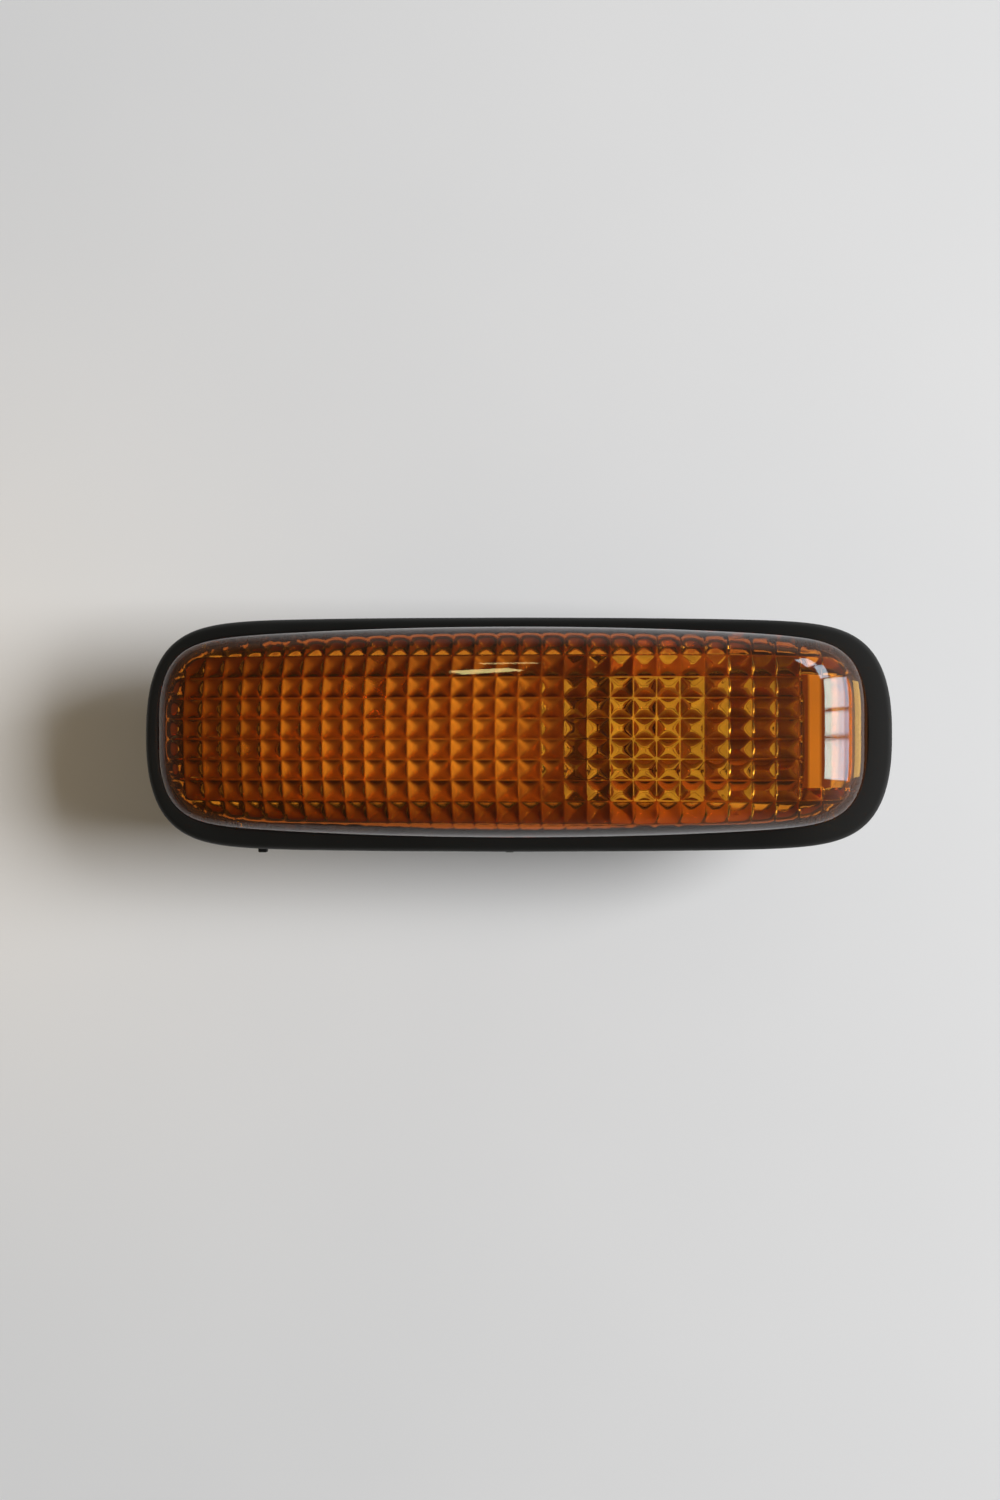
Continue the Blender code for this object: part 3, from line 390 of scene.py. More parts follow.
def facet_profile():
    """Rises of a facet from its foot in the valley to the crest of the pillow. It grows flatter
    on the way and is eased at both ends."""
    rises = [0.0]
    for step in range(FACET_STEPS):
        share = 1.0 - (step + 0.5) / FACET_STEPS
        angle = OPTIC_CREST_ANGLE + (OPTIC_EDGE_ANGLE - OPTIC_CREST_ANGLE) * share
        ease = min(1.0, (1.0 - share) / OPTIC_VALLEY_EASE, share / OPTIC_CREST_EASE)
        rises.append(rises[-1] + ease * math.tan(angle) * OPTIC_ROW / 2 / FACET_STEPS)
    return rises


FACET_RISES = facet_profile()


def facet_rise(share):
    return FACET_RISES[round((1.0 - abs(share)) * FACET_STEPS)]


def optic_depth(column, row, x, y):
    """How far the pillows stand in from the inside of the dome. Each has four facets that meet in
    soft hips. At the tall end they are steeper, and their crests lean towards the low end."""
    if x > clear_start and abs(y - lens_middle.y) < CLEAR_WIDTH / 2:
        return 0.0
    tall_end = min(1.0, max(0.0, (x - TALL_END_START) / TALL_END_FADE))
    crest = OPTIC_LEAN * tall_end
    share = column % 1.0 * 2.0 - 1.0 - crest
    share /= 1.0 - crest if share > 0.0 else 1.0 + crest
    along = facet_rise(share) * (1.0 + OPTIC_STEEPER * tall_end)
    across = facet_rise(row % 1.0 * 2.0 - 1.0)
    blend = max(0.0, 1.0 - abs(along - across) / OPTIC_HIP_EASE)
    return max(0.0, min(along, across) - blend ** 2 * OPTIC_HIP_EASE / 4)


def face_outward(shape):
    """Turn every face of a closed shape away from the material."""
    bmesh.ops.recalc_face_normals(shape, faces=shape.faces)
    if shape.calc_volume(signed=True) < 0.0:
        bmesh.ops.reverse_faces(shape, faces=shape.faces)


def loose_edges(shape):
    return [edge for edge in shape.edges if edge.is_boundary]


def drop_skirt(shape, edges, level):
    """Draw an edge loop straight down to a level and return the new loop."""
    drawn = bmesh.ops.extrude_edge_only(shape, edges=edges)["geom"]
    for vertex in (item for item in drawn if isinstance(item, bmesh.types.BMVert)):
        vertex.co.z = level
    return [item for item in drawn if isinstance(item, bmesh.types.BMEdge) and item.is_boundary]


def take_in(shape, other, name):
    """Add the faces of another shape to a shape."""
    mesh = bpy.data.meshes.new(name)
    other.to_mesh(mesh)
    other.free()
    shape.from_mesh(mesh)
    bpy.data.meshes.remove(mesh)


lens_shape = bmesh.new()
bmesh.ops.create_grid(lens_shape, x_segments=DOME_POINTS, y_segments=DOME_RINGS, size=1.0)
edge_points = lens_outline(0.0, DOME_POINTS)
for vertex in lens_shape.verts:
    index = round((vertex.co.x + 1.0) / 2 * DOME_POINTS) % DOME_POINTS
    ring = round((vertex.co.y + 1.0) / 2 * DOME_RINGS)
    reach = math.cos(math.pi / 2 * ring / DOME_RINGS)
    place = lens_middle.xy.lerp(edge_points[index], reach)
    height = dome_height(place.x, place.y, 0.0) if ring else 0.0
    vertex.co = (place.x, place.y, dome_foot + height)
bmesh.ops.remove_doubles(lens_shape, verts=lens_shape.verts, dist=DOME_WELD)
drop_skirt(lens_shape, loose_edges(lens_shape), lens_low.z)

hollow = bmesh.new()
first_column = math.floor(optic_column(lens_low.x + LENS_SIDE))
columns = math.ceil(optic_column(lens_high.x - LENS_SIDE)) - first_column
first_row = math.floor(optic_row(lens_low.y + LENS_SIDE))
rows = math.ceil(optic_row(lens_high.y - LENS_SIDE)) - first_row
bmesh.ops.create_grid(hollow, x_segments=OPTIC_STEPS * columns, y_segments=OPTIC_STEPS * rows, size=1.0)
for vertex in hollow.verts:
    column = packed(first_column + columns * (vertex.co.x + 1.0) / 2)
    row = packed(first_row + rows * (vertex.co.y + 1.0) / 2)
    x = optic_start + OPTIC_COLUMN * column + OPTIC_GROWTH / 2 * column ** 2
    x = min(max(x, lens_low.x + LENS_SIDE), lens_high.x - LENS_SIDE)
    half = lens_half_width(x, LENS_SIDE)
    y = OPTIC_ROW_LINE + OPTIC_ROW * row
    y = min(max(y, lens_middle.y - half), lens_middle.y + half)
    from_end = lens_half.x - LENS_SIDE - abs(x - lens_middle.x)
    inside = min(1.0, (half - abs(y - lens_middle.y)) / OPTIC_FADE, from_end / OPTIC_FADE)
    bowed = max(0.0, (summit - x) / (summit - lens_low.x))
    x += inside * OPTIC_BOW * bowed * ((y - lens_middle.y) / lens_half.y) ** 2
    height = dome_height(x, y, LENS_SIDE)
    rise_x = dome_height(x + SLOPE_STEP, y, LENS_SIDE) - dome_height(x - SLOPE_STEP, y, LENS_SIDE)
    rise_y = dome_height(x, y + SLOPE_STEP, LENS_SIDE) - dome_height(x, y - SLOPE_STEP, LENS_SIDE)
    inward = Vector((rise_x, rise_y, -2.0 * SLOPE_STEP)).normalized()
    depth = min(height / 2, inside * optic_depth(column, row, x, y))
    vertex.co = Vector((x, y, dome_foot + height)) + depth * inward
bmesh.ops.remove_doubles(hollow, verts=hollow.verts, dist=HOLLOW_WELD)
bmesh.ops.dissolve_degenerate(hollow, edges=hollow.edges, dist=HOLLOW_WELD)
drop_skirt(hollow, loose_edges(hollow), lens_low.z + LENS_FOOT_TAPER)
take_in(lens_shape, hollow, "lens_hollow")
bmesh.ops.bridge_loops(lens_shape, edges=loose_edges(lens_shape))
face_outward(lens_shape)

amber_lens, tree, shader = new_finish("amber_lens")
clouds = noise(tree, scale=90.0, detail=3.0)
amber = blend_colours(tree, clouds, *AMBER)
facing = axes_of(tree, "ShaderNodeNewGeometry", "Normal")
place = axes_of(tree, "ShaderNodeTexCoord", "Object")
# Painted shade: steep faces away from the tall end turn darker.
steep = spread(tree, math_node(tree, "ABSOLUTE", facing.outputs["Z"]), 1.0, 0.0, *STEEP_FADE)
wall = math_node(tree, "MULTIPLY", steep, spread(tree, place.outputs["X"], 1.0, 0.0, *EDGE_SHADE_END))
tree.links.new(blend_colours(tree, wall, amber, EDGE_PAINTED_SHADE), shader.inputs["Base Color"])
shader.inputs["Transmission Weight"].default_value = LENS_CLARITY
shader.inputs["IOR"].default_value = LENS_IOR
tree.links.new(spread(tree, clouds, 0.015, 0.04), shader.inputs["Roughness"])
lens = add_piece("lens_moulding", lens_shape, amber_lens, "lamp_body", "lens")
lens.visible_shadow = False

# Panel gasket: the black rubber rim round the lens. It wraps the edge of the plate, lies on the
# panel below and closes on the lens above, and two moulding nibs stand on its lower edge.
RIM_BOW = 0.045
RIM_END_POWER = 12.0
RIM_SIDE_POWER = 2.4
RIM_POINTS = 288
RIM_TOP_ROUNDING = 0.0009
RIM_LOW_ROUNDING = 0.0004
LENS_LIP_ROUNDING = 0.0003
LENS_LIP_GAP = 0.00012
LIP_THICKNESS = 0.0012
WRAP = 0.0009
ROUNDING_STEPS = 5
CUTOUT_HALF = Vector((0.0475, 0.0118))
CUTOUT_CORNER = 0.007
NIB_PLACES = (-0.0365, -0.0013)
NIB_SIZE = Vector((0.0013, 0.0016, 0.0014))
NIB_INSET = 0.0001
NIB_ROUNDING = 0.0002
LOOP_WELD = 0.0000001
RUBBER = ((0.005, 0.0054, 0.005), (0.010, 0.0105, 0.010))
# The rubber is painted lighter towards the tall end: a painted sheen.
RUBBER_PAINTED_SHEEN = (0.020, 0.020, 0.0195)
RUBBER_SHEEN_FADE = (0.034, 0.051)

rim_half = Vector(((rim_high.x - rim_low.x) / 2, rim_high.y))


def rim_outline(inset):
    return outline(rim_half.x, rim_half.y, RIM_BOW, RIM_END_POWER, RIM_SIDE_POWER, Vector(), inset,
                   RIM_POINTS)


def at_level(points, level):
    return [Vector((point.x, point.y, level)) for point in points]


def cutout_points(points):
    """Points of the hole under the rim that lie nearest to these."""
    found = []
    for point in points:
        core = CUTOUT_HALF - Vector((CUTOUT_CORNER, CUTOUT_CORNER))
        inside = Vector((min(max(point.x, -core.x), core.x), min(max(point.y, -core.y), core.y)))
        found.append(inside + CUTOUT_CORNER * (point.xy - inside).normalized())
    return found


def loop_skin(loops):
    """Skin drawn through loops of points, from the first to the last. A loop of equal points closes
    an end, and a last loop equal to the first makes a ring."""
    shape = bmesh.new()
    around = len(loops[0])
    across = len(loops) - 1
    bmesh.ops.create_grid(shape, x_segments=around, y_segments=across, size=1.0)
    for vertex in shape.verts:
        index = round((vertex.co.x + 1.0) / 2 * around) % around
        loop = round((vertex.co.y + 1.0) / 2 * across)
        vertex.co = loops[loop][index]
    bmesh.ops.remove_doubles(shape, verts=shape.verts, dist=LOOP_WELD)
    face_outward(shape)
    return shape


plate_top = rim_high.z - LIP_THICKNESS
plate_under = rim_low.z + LIP_THICKNESS
rim_loops = [at_level(lens_outline(-LENS_LIP_GAP, RIM_POINTS), plate_top),
             at_level(lens_outline(-LENS_LIP_GAP, RIM_POINTS), rim_high.z - LENS_LIP_ROUNDING)]
for step in range(1, ROUNDING_STEPS):
    angle = math.pi / 2 * step / ROUNDING_STEPS
    outset = LENS_LIP_GAP + LENS_LIP_ROUNDING * (1.0 - math.cos(angle))
    rim_loops.append(at_level(lens_outline(-outset, RIM_POINTS),
                              rim_high.z - LENS_LIP_ROUNDING * (1.0 - math.sin(angle))))
rim_loops.append(at_level(lens_outline(-LENS_LIP_GAP - LENS_LIP_ROUNDING, RIM_POINTS), rim_high.z))
for step in range(ROUNDING_STEPS + 1):
    angle = math.pi / 2 * step / ROUNDING_STEPS
    rim_loops.append(at_level(rim_outline(RIM_TOP_ROUNDING * (1.0 - math.sin(angle))),
                              rim_high.z - RIM_TOP_ROUNDING * (1.0 - math.cos(angle))))
for step in range(ROUNDING_STEPS + 1):
    angle = math.pi / 2 * step / ROUNDING_STEPS
    rim_loops.append(at_level(rim_outline(RIM_LOW_ROUNDING * (1.0 - math.cos(angle))),
                              rim_low.z + RIM_LOW_ROUNDING * (1.0 - math.sin(angle))))
rim_loops.append(at_level(cutout_points(rim_outline(0.0)), rim_low.z))
rim_loops.append(at_level(cutout_points(rim_outline(0.0)), plate_under))
rim_loops.append(at_level(rim_outline(WRAP), plate_under))
rim_loops.append(at_level(rim_outline(WRAP), plate_top))
rim_loops.append(rim_loops[0])
rim_shape = loop_skin(rim_loops)
for place in NIB_PLACES:
    nib = bmesh.ops.create_cube(rim_shape, size=1.0)["verts"]
    middle = Vector((place, rim_low.y + NIB_INSET + NIB_SIZE.y / 2, rim_low.z + NIB_SIZE.z / 2))
    bmesh.ops.scale(rim_shape, vec=NIB_SIZE, verts=nib)
    bmesh.ops.translate(rim_shape, vec=middle, verts=nib)
    nib_edges = {edge for vertex in nib for edge in vertex.link_edges}
    bmesh.ops.bevel(rim_shape, geom=list(nib_edges), offset=NIB_ROUNDING, segments=2, profile=0.5,
                    affect="EDGES", material=-1)

rim_rubber, tree, shader = new_finish("rim_rubber")
clouds = noise(tree, scale=160.0, detail=5.0)
rubber = blend_colours(tree, clouds, *RUBBER)
place = axes_of(tree, "ShaderNodeTexCoord", "Object")
# Painted sheen: the rubber grows lighter towards the tall end.
painted_sheen = spread(tree, place.outputs["X"], 0.0, 1.0, *RUBBER_SHEEN_FADE)
tree.links.new(blend_colours(tree, painted_sheen, rubber, RUBBER_PAINTED_SHEEN), shader.inputs["Base Color"])
tree.links.new(spread(tree, clouds, 0.5, 0.65), shader.inputs["Roughness"])
relief(tree, shader, noise(tree, scale=3200.0, detail=2.0), depth=0.00002, strength=0.5)
add_piece("rim_gasket", rim_shape, rim_rubber, "lamp_body", "panel_gasket")

# Bulb glass: the clear envelope of a wedge-base bulb, blown in a mould. Its flat foot is pressed
# while hot, and the foot is held in the slot of the holder.
GLASS_SIDES = 64
GLASS_WALL = 0.0003
WEDGE_HALF = Vector((0.0046, 0.0011))
WEDGE_POWER = 6.0
WEDGE_ROUNDING = 0.0004
SHOULDER_START = 0.0098
SHOULDER_END = 0.0134
SHOULDER_STEPS = 10
TIP_STEPS = 12
HOLLOW_START = 0.0112
GLASS_IOR = 1.2
GLASS_SMOOTH_BELOW = 60.0

glass_low, glass_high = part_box("bulb_glass")
bulb_radius = glass_high.y
bulb_axis = (glass_low.z + glass_high.z) / 2


def section_loop(x, half_width, half_height, power):
    """Points round the bulb at a place along its axis; a higher power gives squarer corners."""
    loop = []
    for index in range(GLASS_SIDES):
        angle = 2.0 * math.pi * (index + 0.5) / GLASS_SIDES
        across = math.copysign(abs(math.cos(angle)) ** (2.0 / power), math.cos(angle))
        rise = math.copysign(abs(math.sin(angle)) ** (2.0 / power), math.sin(angle))
        loop.append(Vector((x, half_width * across, bulb_axis + half_height * rise)))
    return loop


def envelope_loops(start, wall):
    """Sections of the round part from a place on the shoulder to the tip."""
    radius = bulb_radius - wall
    loops = []
    for step in range(SHOULDER_STEPS + 1):
        share = step / SHOULDER_STEPS
        eased_share = share * share * (3.0 - 2.0 * share)
        width = WEDGE_HALF.x - wall + (radius - WEDGE_HALF.x + wall) * eased_share
        swell = math.sin(math.pi / 2 * eased_share)
        height = WEDGE_HALF.y - wall + (radius - WEDGE_HALF.y + wall) * swell
        loops.append(section_loop(start + (SHOULDER_END - start) * share, width, height,
                                  WEDGE_POWER + (2.0 - WEDGE_POWER) * eased_share))
    tip = glass_high.x - wall
    for step in range(TIP_STEPS + 1):
        angle = math.pi / 2 * step / TIP_STEPS
        reach = radius * math.cos(angle)
        loops.append(section_loop(tip - radius + radius * math.sin(angle), reach, reach, 2.0))
    return loops


def flat_end(loop):
    """Loop of equal points in the middle of another."""
    return [sum(loop, Vector()) / len(loop)] * len(loop)


foot = section_loop(glass_low.x, WEDGE_HALF.x - WEDGE_ROUNDING, WEDGE_HALF.y - WEDGE_ROUNDING,
                    WEDGE_POWER)
foot_edge = section_loop(glass_low.x + WEDGE_ROUNDING, *WEDGE_HALF, WEDGE_POWER)
glass_shape = loop_skin([flat_end(foot), foot, foot_edge, *envelope_loops(SHOULDER_START, 0.0)])
hollow_loops = envelope_loops(HOLLOW_START, GLASS_WALL)
hollow = loop_skin([flat_end(hollow_loops[0]), *hollow_loops])
bmesh.ops.reverse_faces(hollow, faces=hollow.faces)
take_in(glass_shape, hollow, "bulb_hollow")

bulb_clear, tree, shader = new_finish("bulb_clear")
tone(tree, shader, noise(tree, scale=220.0, detail=3.0),
     colours=((0.97, 0.975, 0.97), (1.0, 1.0, 1.0)), roughness=(0.0, 0.03))
shader.inputs["Transmission Weight"].default_value = 1.0
shader.inputs["IOR"].default_value = GLASS_IOR
bulb_glass = add_piece("bulb_envelope", glass_shape, bulb_clear, "bulb", "bulb_glass",
                       GLASS_SMOOTH_BELOW)
bulb_glass.visible_shadow = False

# Filament: a close coil of fine tungsten wire, hung between the tips of the two leads.
FILAMENT_TURNS = 11
FILAMENT_STEPS = 20
FILAMENT_WIRE = 0.00009
FILAMENT_SIDES = 8

coil_low, coil_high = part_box("bulb_filament")
coil_middle = (coil_low + coil_high) / 2
coil_radius = (coil_high.x - coil_low.x) / 2 - FILAMENT_WIRE


def circle(radius, sides):
    return [Vector((radius * math.cos(2.0 * math.pi * index / sides),
                    radius * math.sin(2.0 * math.pi * index / sides))) for index in range(sides)]


def swept(route, section):
    """Section drawn along a route, closed at both ends. Its width stays across the lamp."""
    loops = []
    for index, point in enumerate(route):
        along = (route[min(index + 1, len(route) - 1)] - route[max(index - 1, 0)]).normalized()
        across = (Vector((0.0, 1.0, 0.0)) - along.y * along).normalized()
        rise = along.cross(across)
        loops.append([point + offset.x * across + offset.y * rise for offset in section])
    return loop_skin([flat_end(loops[0]), *loops, flat_end(loops[-1])])


coil_route = []
for step in range(FILAMENT_TURNS * FILAMENT_STEPS + 1):
    angle = 2.0 * math.pi * step / FILAMENT_STEPS
    share = step / (FILAMENT_TURNS * FILAMENT_STEPS)
    coil_route.append(Vector((coil_middle.x + coil_radius * math.cos(angle),
                              coil_low.y + (coil_high.y - coil_low.y) * share,
                              coil_middle.z + coil_radius * math.sin(angle))))

tungsten, tree, shader = new_finish("tungsten")
tone(tree, shader, noise(tree, scale=4000.0),
     colours=((0.20, 0.19, 0.19), (0.36, 0.35, 0.34)), roughness=(0.35, 0.55))
shader.inputs["Metallic"].default_value = 1.0
filament = add_piece("bulb_coil", swept(coil_route, circle(FILAMENT_WIRE, FILAMENT_SIDES)), tungsten,
                     "bulb", "bulb_filament")

# Leads: two stiff wires that hold the filament, pass through the pressed foot of the glass and fold
# back on its two flat sides, where the contacts press on them.
LEAD_RADIUS = 0.00025
LEAD_SIDES = 14
LEAD_BEND_STEPS = 16
LEAD_FOLD = 0.0055

lead_wire, tree, shader = new_finish("lead_wire")
tone(tree, shader, noise(tree, scale=900.0, detail=3.0, stretch=(0.15, 1.0, 1.0)),
     colours=((0.50, 0.45, 0.40), (0.66, 0.62, 0.57)), roughness=(0.24, 0.4))
shader.inputs["Metallic"].default_value = 1.0

leads = []
for node, side in (("bulb_lead_feed", 1.0), ("bulb_lead_return", -1.0)):
    low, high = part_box(node)
    line = (low.y + high.y) / 2
    fold = high.z - low.z - 2.0 * LEAD_RADIUS
    route = [Vector((high.x, line, bulb_axis))]
    for step in range(LEAD_BEND_STEPS + 1):
        angle = math.pi * step / LEAD_BEND_STEPS
        route.append(Vector((low.x + LEAD_RADIUS * (2.0 - math.sin(angle)), line,
                             bulb_axis + side * fold / 2 * (1.0 - math.cos(angle)))))
    route.append(Vector((glass_low.x + LEAD_FOLD, line, bulb_axis + side * fold)))
    wire = swept(route, circle(LEAD_RADIUS, LEAD_SIDES))
    leads.append(add_piece(f"{node}_wire", wire, lead_wire, "bulb", node))

# Bulb holder: a twist-lock holder moulded in grey nylon. Its nose goes through the port, two lugs
# lock behind the wall, and the connector's shroud stands behind the grip.
HOLDER_EDGE = 0.0003
NYLON = ((0.13, 0.13, 0.128), (0.19, 0.19, 0.185))
# The nose, inside the lamp, is painted nearly black: painted shade.
NOSE_PAINTED_SHADE = (0.02, 0.008, 0.005)
NOSE_SHADE_FADE = (0.0, 0.004)

grey_nylon, tree, shader = new_finish("grey_nylon")
clouds = noise(tree, scale=240.0, detail=4.0)
nylon = blend_colours(tree, clouds, *NYLON)
place = axes_of(tree, "ShaderNodeTexCoord", "Object")
# Painted shade on the nose inside the lamp.
nose = spread(tree, place.outputs["X"], 0.0, 1.0, *NOSE_SHADE_FADE)
tree.links.new(blend_colours(tree, nose, nylon, NOSE_PAINTED_SHADE), shader.inputs["Base Color"])
tree.links.new(spread(tree, clouds, 0.42, 0.56), shader.inputs["Roughness"])
relief(tree, shader, noise(tree, scale=2200.0, detail=2.0), depth=0.00002, strength=0.5)
holder = add_piece("bulb_holder_moulding", softened_copy("bulb_holder"), grey_nylon, "holder",
                   "bulb_holder")
round_edges(holder, HOLDER_EDGE)

# Contacts: two strips stamped from brass sheet and bent. Each has a sprung leaf on one lead of the
# bulb and a blade in the connector.
CONTACT_SHEET = 0.0005
CONTACT_ROUNDING = 0.00012
CONTACT_FLARE = 0.0006
CONTACT_JOG = 0.003
LEAF_START = 0.0012
BEND_RADIUS = 0.0008
BEND_STEPS = 5


def sheet_section(width, height, rounding, steps=3):
    """Points of a rectangle with rounded corners."""
    section = []
    for index, (side, rise) in enumerate(((1.0, 1.0), (-1.0, 1.0), (-1.0, -1.0), (1.0, -1.0))):
        middle = Vector((side * (width / 2 - rounding), rise * (height / 2 - rounding)))
        for step in range(steps + 1):
            angle = math.pi / 2 * (index + step / steps)
            section.append(middle + rounding * Vector((math.cos(angle), math.sin(angle))))
    return section


def eased(points, radius):
    """Route through points with each bend drawn as a curve."""
    route = [points[0]]
    for before, corner, after in zip(points, points[1:], points[2:]):
        back = before - corner
        ahead = after - corner
        turn = math.pi - back.angle(ahead)
        reach = min(radius * math.tan(turn / 2), back.length / 2, ahead.length / 2)
        start = corner + reach * back.normalized()
        end = corner + reach * ahead.normalized()
        for step in range(BEND_STEPS + 1):
            share = step / BEND_STEPS
            route.append(start.lerp(corner, share).lerp(corner.lerp(end, share), share))
    route.append(points[-1])
    return route


contact_brass, tree, shader = new_finish("contact_brass")
tone(tree, shader, noise(tree, scale=500.0, detail=4.0, stretch=(0.08, 1.0, 1.0)),
     colours=((0.60, 0.41, 0.14), (0.76, 0.56, 0.25)), roughness=(0.25, 0.42))
shader.inputs["Metallic"].default_value = 1.0

for node, side in (("contact_feed", 1.0), ("contact_return", -1.0)):
    low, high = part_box(node)
    line = (low.y + high.y) / 2
    top = high.z - bulb_axis if side > 0.0 else bulb_axis - low.z
    leaf = bulb_axis + side * (top - CONTACT_SHEET / 2 - CONTACT_FLARE)
    points = [Vector((high.x, line, leaf + side * CONTACT_FLARE)),
              Vector((high.x - 2.0 * CONTACT_FLARE, line, leaf)),
              Vector((LEAF_START, line, leaf)),
              Vector((LEAF_START - CONTACT_JOG, line, bulb_axis)),
              Vector((low.x, line, bulb_axis))]
    strip = swept(eased(points, BEND_RADIUS),
                  sheet_section(high.y - low.y, CONTACT_SHEET, CONTACT_ROUNDING))
    add_piece(f"{node}_strip", strip, contact_brass, "holder", node)

# Holder seal: a flat ring cut from soft rubber, squeezed between the holder's flange and the wall
# of the port.
RING_POINTS = 96
RING_ROUNDING = 0.00035
RING_HOLE = 0.0067

ring_low, ring_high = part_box("holder_seal")
ring_half = Vector(((ring_high.y - RING_HOLE) / 2, (ring_high.x - ring_low.x) / 2))
ring_loops = []
for offset in sheet_section(2.0 * ring_half.x, 2.0 * ring_half.y, RING_ROUNDING, 4):
    reach = RING_HOLE + ring_half.x + offset.x
    loop = []
    for index in range(RING_POINTS):
        angle = 2.0 * math.pi * index / RING_POINTS
        loop.append(Vector(((ring_low.x + ring_high.x) / 2 + offset.y, reach * math.cos(angle),
                            bulb_axis + reach * math.sin(angle))))
    ring_loops.append(loop)
ring_loops.append(ring_loops[0])

port_rubber, tree, shader = new_finish("port_rubber")
tone(tree, shader, noise(tree, scale=300.0),
     colours=((0.014, 0.014, 0.014), (0.03, 0.03, 0.03)), roughness=(0.6, 0.78))
add_piece("holder_seal_ring", loop_skin(ring_loops), port_rubber, "holder", "holder_seal")

# Retaining spring: a leaf of bright spring steel, cut and bent. It stands in the bracket of the
# housing and snaps behind the edge of the panel.
SPRING_SHEET = 0.0005
SPRING_ROUNDING = 0.00012
SPRING_STRAIGHT = 0.004
SPRING_APEX = Vector((0.0483, 0.0152))
SPRING_TIP = Vector((0.0467, 0.0184))
SPRING_BEND = 0.0016

leaf_low, leaf_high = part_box("retaining_spring")
root = leaf_low.x + SPRING_SHEET / 2
points = [Vector((root, 0.0, leaf_low.z)),
          Vector((root, 0.0, leaf_low.z + SPRING_STRAIGHT)),
          Vector((SPRING_APEX.x, 0.0, SPRING_APEX.y)),
          Vector((SPRING_TIP.x, 0.0, SPRING_TIP.y))]

spring_steel, tree, shader = new_finish("spring_steel")
tone(tree, shader, noise(tree, scale=420.0, detail=4.0, stretch=(1.0, 0.1, 1.0)),
     colours=((0.48, 0.49, 0.50), (0.66, 0.67, 0.68)), roughness=(0.24, 0.4))
shader.inputs["Metallic"].default_value = 1.0
leaf = swept(eased(points, SPRING_BEND),
             sheet_section(leaf_high.y - leaf_low.y, SPRING_SHEET, SPRING_ROUNDING))
add_piece("retaining_spring_leaf", leaf, spring_steel, "spring", "retaining_spring")

# Floor: a plain pale table top with a fine uneven coat of paint. It is only there for the picture,
# and is no piece of the lamp.
FLOOR_HALF = 1.5
FLOOR_SQUARES = 4
FLOOR_ROUGHNESS = 0.7

floor_shape = bmesh.new()
bmesh.ops.create_grid(floor_shape, x_segments=FLOOR_SQUARES, y_segments=FLOOR_SQUARES, size=FLOOR_HALF)
floor_mesh = bpy.data.meshes.new("floor")
floor_shape.to_mesh(floor_mesh)
floor_shape.free()
floor_paint, tree, shader = new_finish("floor_paint")
paint = blend_colours(tree, noise(tree, scale=14.0, detail=4.0), (0.74, 0.745, 0.75), (0.80, 0.80, 0.80))
tree.links.new(paint, shader.inputs["Base Color"])
shader.inputs["Roughness"].default_value = FLOOR_ROUGHNESS
floor_mesh.materials.append(floor_paint)
floor = bpy.data.objects.new("floor", floor_mesh)
bpy.context.scene.collection.objects.link(floor)

# Light: a dim room with a window of three panes low down beside the tall end, a soft lamp above it
# for the table, and the window's light as the lens throws it down on the tray and the bulb. Each
# lamp lights only the pieces of one collection.
WINDOW_DISTANCE = 0.45
PANES = ((-0.0517, 0.0014), (0.0034, 0.0140), (0.0172, 0.0866))
PANE_LOW = 0.05
BAND_HEIGHT = 0.05
PANE_BANDS = ((6.6, (0.62, 0.74, 1.0)), (10.6, (0.50, 0.735, 1.0)), (12.0, (0.667, 0.875, 1.0)),
              (13.7, (0.83, 1.0, 0.89)))
SIDE_PANES = ((31.6, 30.6), (17.8, 26.3))
SIDE_PANE_SIZE = (0.09, 0.06)
SIDE_PANE_RADIANCE = 10.0
SIDE_PANE_COLOUR = (0.67, 0.87, 1.0)
CORNER_INSET = Vector((0.009, 0.005, 0.004))
GLEAMS = (((-0.0867, 0.163, 0.61), (0.066, 0.030), 12.0), ((-0.063, 0.241, 0.587), (0.054, 0.016), 8.0))
GLEAM_LINE = 0.008
GLEAM_COLOUR = (1.0, 0.88, 0.36)
TABLE_LAMP = ((0.90, 0.14, 0.82), (0.0, 0.0, 0.0), (0.58, 0.58), 17.3, (0.985, 0.99, 1.0))
AMBER_SPILL = ((-0.105, -0.003, 0.055), (-0.066, 0.0, 0.0), (0.05, 0.05), 0.75, (1.0, 0.64, 0.18))
END_GLEAM = ((0.11, 0.003, 0.0115), (0.04, 0.003, 0.0115), (0.03, 0.021), 5.2, (1.0, 0.62, 0.15))
TRAY_LIGHT = ((0.13, -0.08, 0.45), (0.0, 0.0, 0.02), (0.14, 0.14), 3.3, (1.0, 1.0, 1.0))
TRAY_GLOW = ((-0.16, 0.03, 0.4), (0.0, 0.0, 0.02), (0.14, 0.14), 0.8, (1.0, 0.2, 0.05))
BOWL_LIGHT = ((0.057, -0.011, 0.4), (0.0210, -0.0005, 0.0031), (0.0145, 0.0145), 9.8, (1.0, 1.0, 1.0))
BOWL_SPREAD = math.radians(1.5)
ROOM_LEVELS = ((0.0, 0.55), (0.25, 0.5), (0.5, 0.14), (0.8, 0.1), (1.0, 0.08))
WINDOW_WAY = (0.9, 0.45, 0.0)
SIDE_SPAN = (-0.7, 0.8)
SIDE_STRENGTHS = (0.39, 1.32)
SIDE_TINTS = ((1.0, 0.89, 0.72), (0.98, 0.99, 1.0))


def collect(name, items):
    """Collection of the pieces that a lamp lights."""
    receivers = bpy.data.collections.new(name)
    for item in items:
        receivers.objects.link(item)
    return receivers


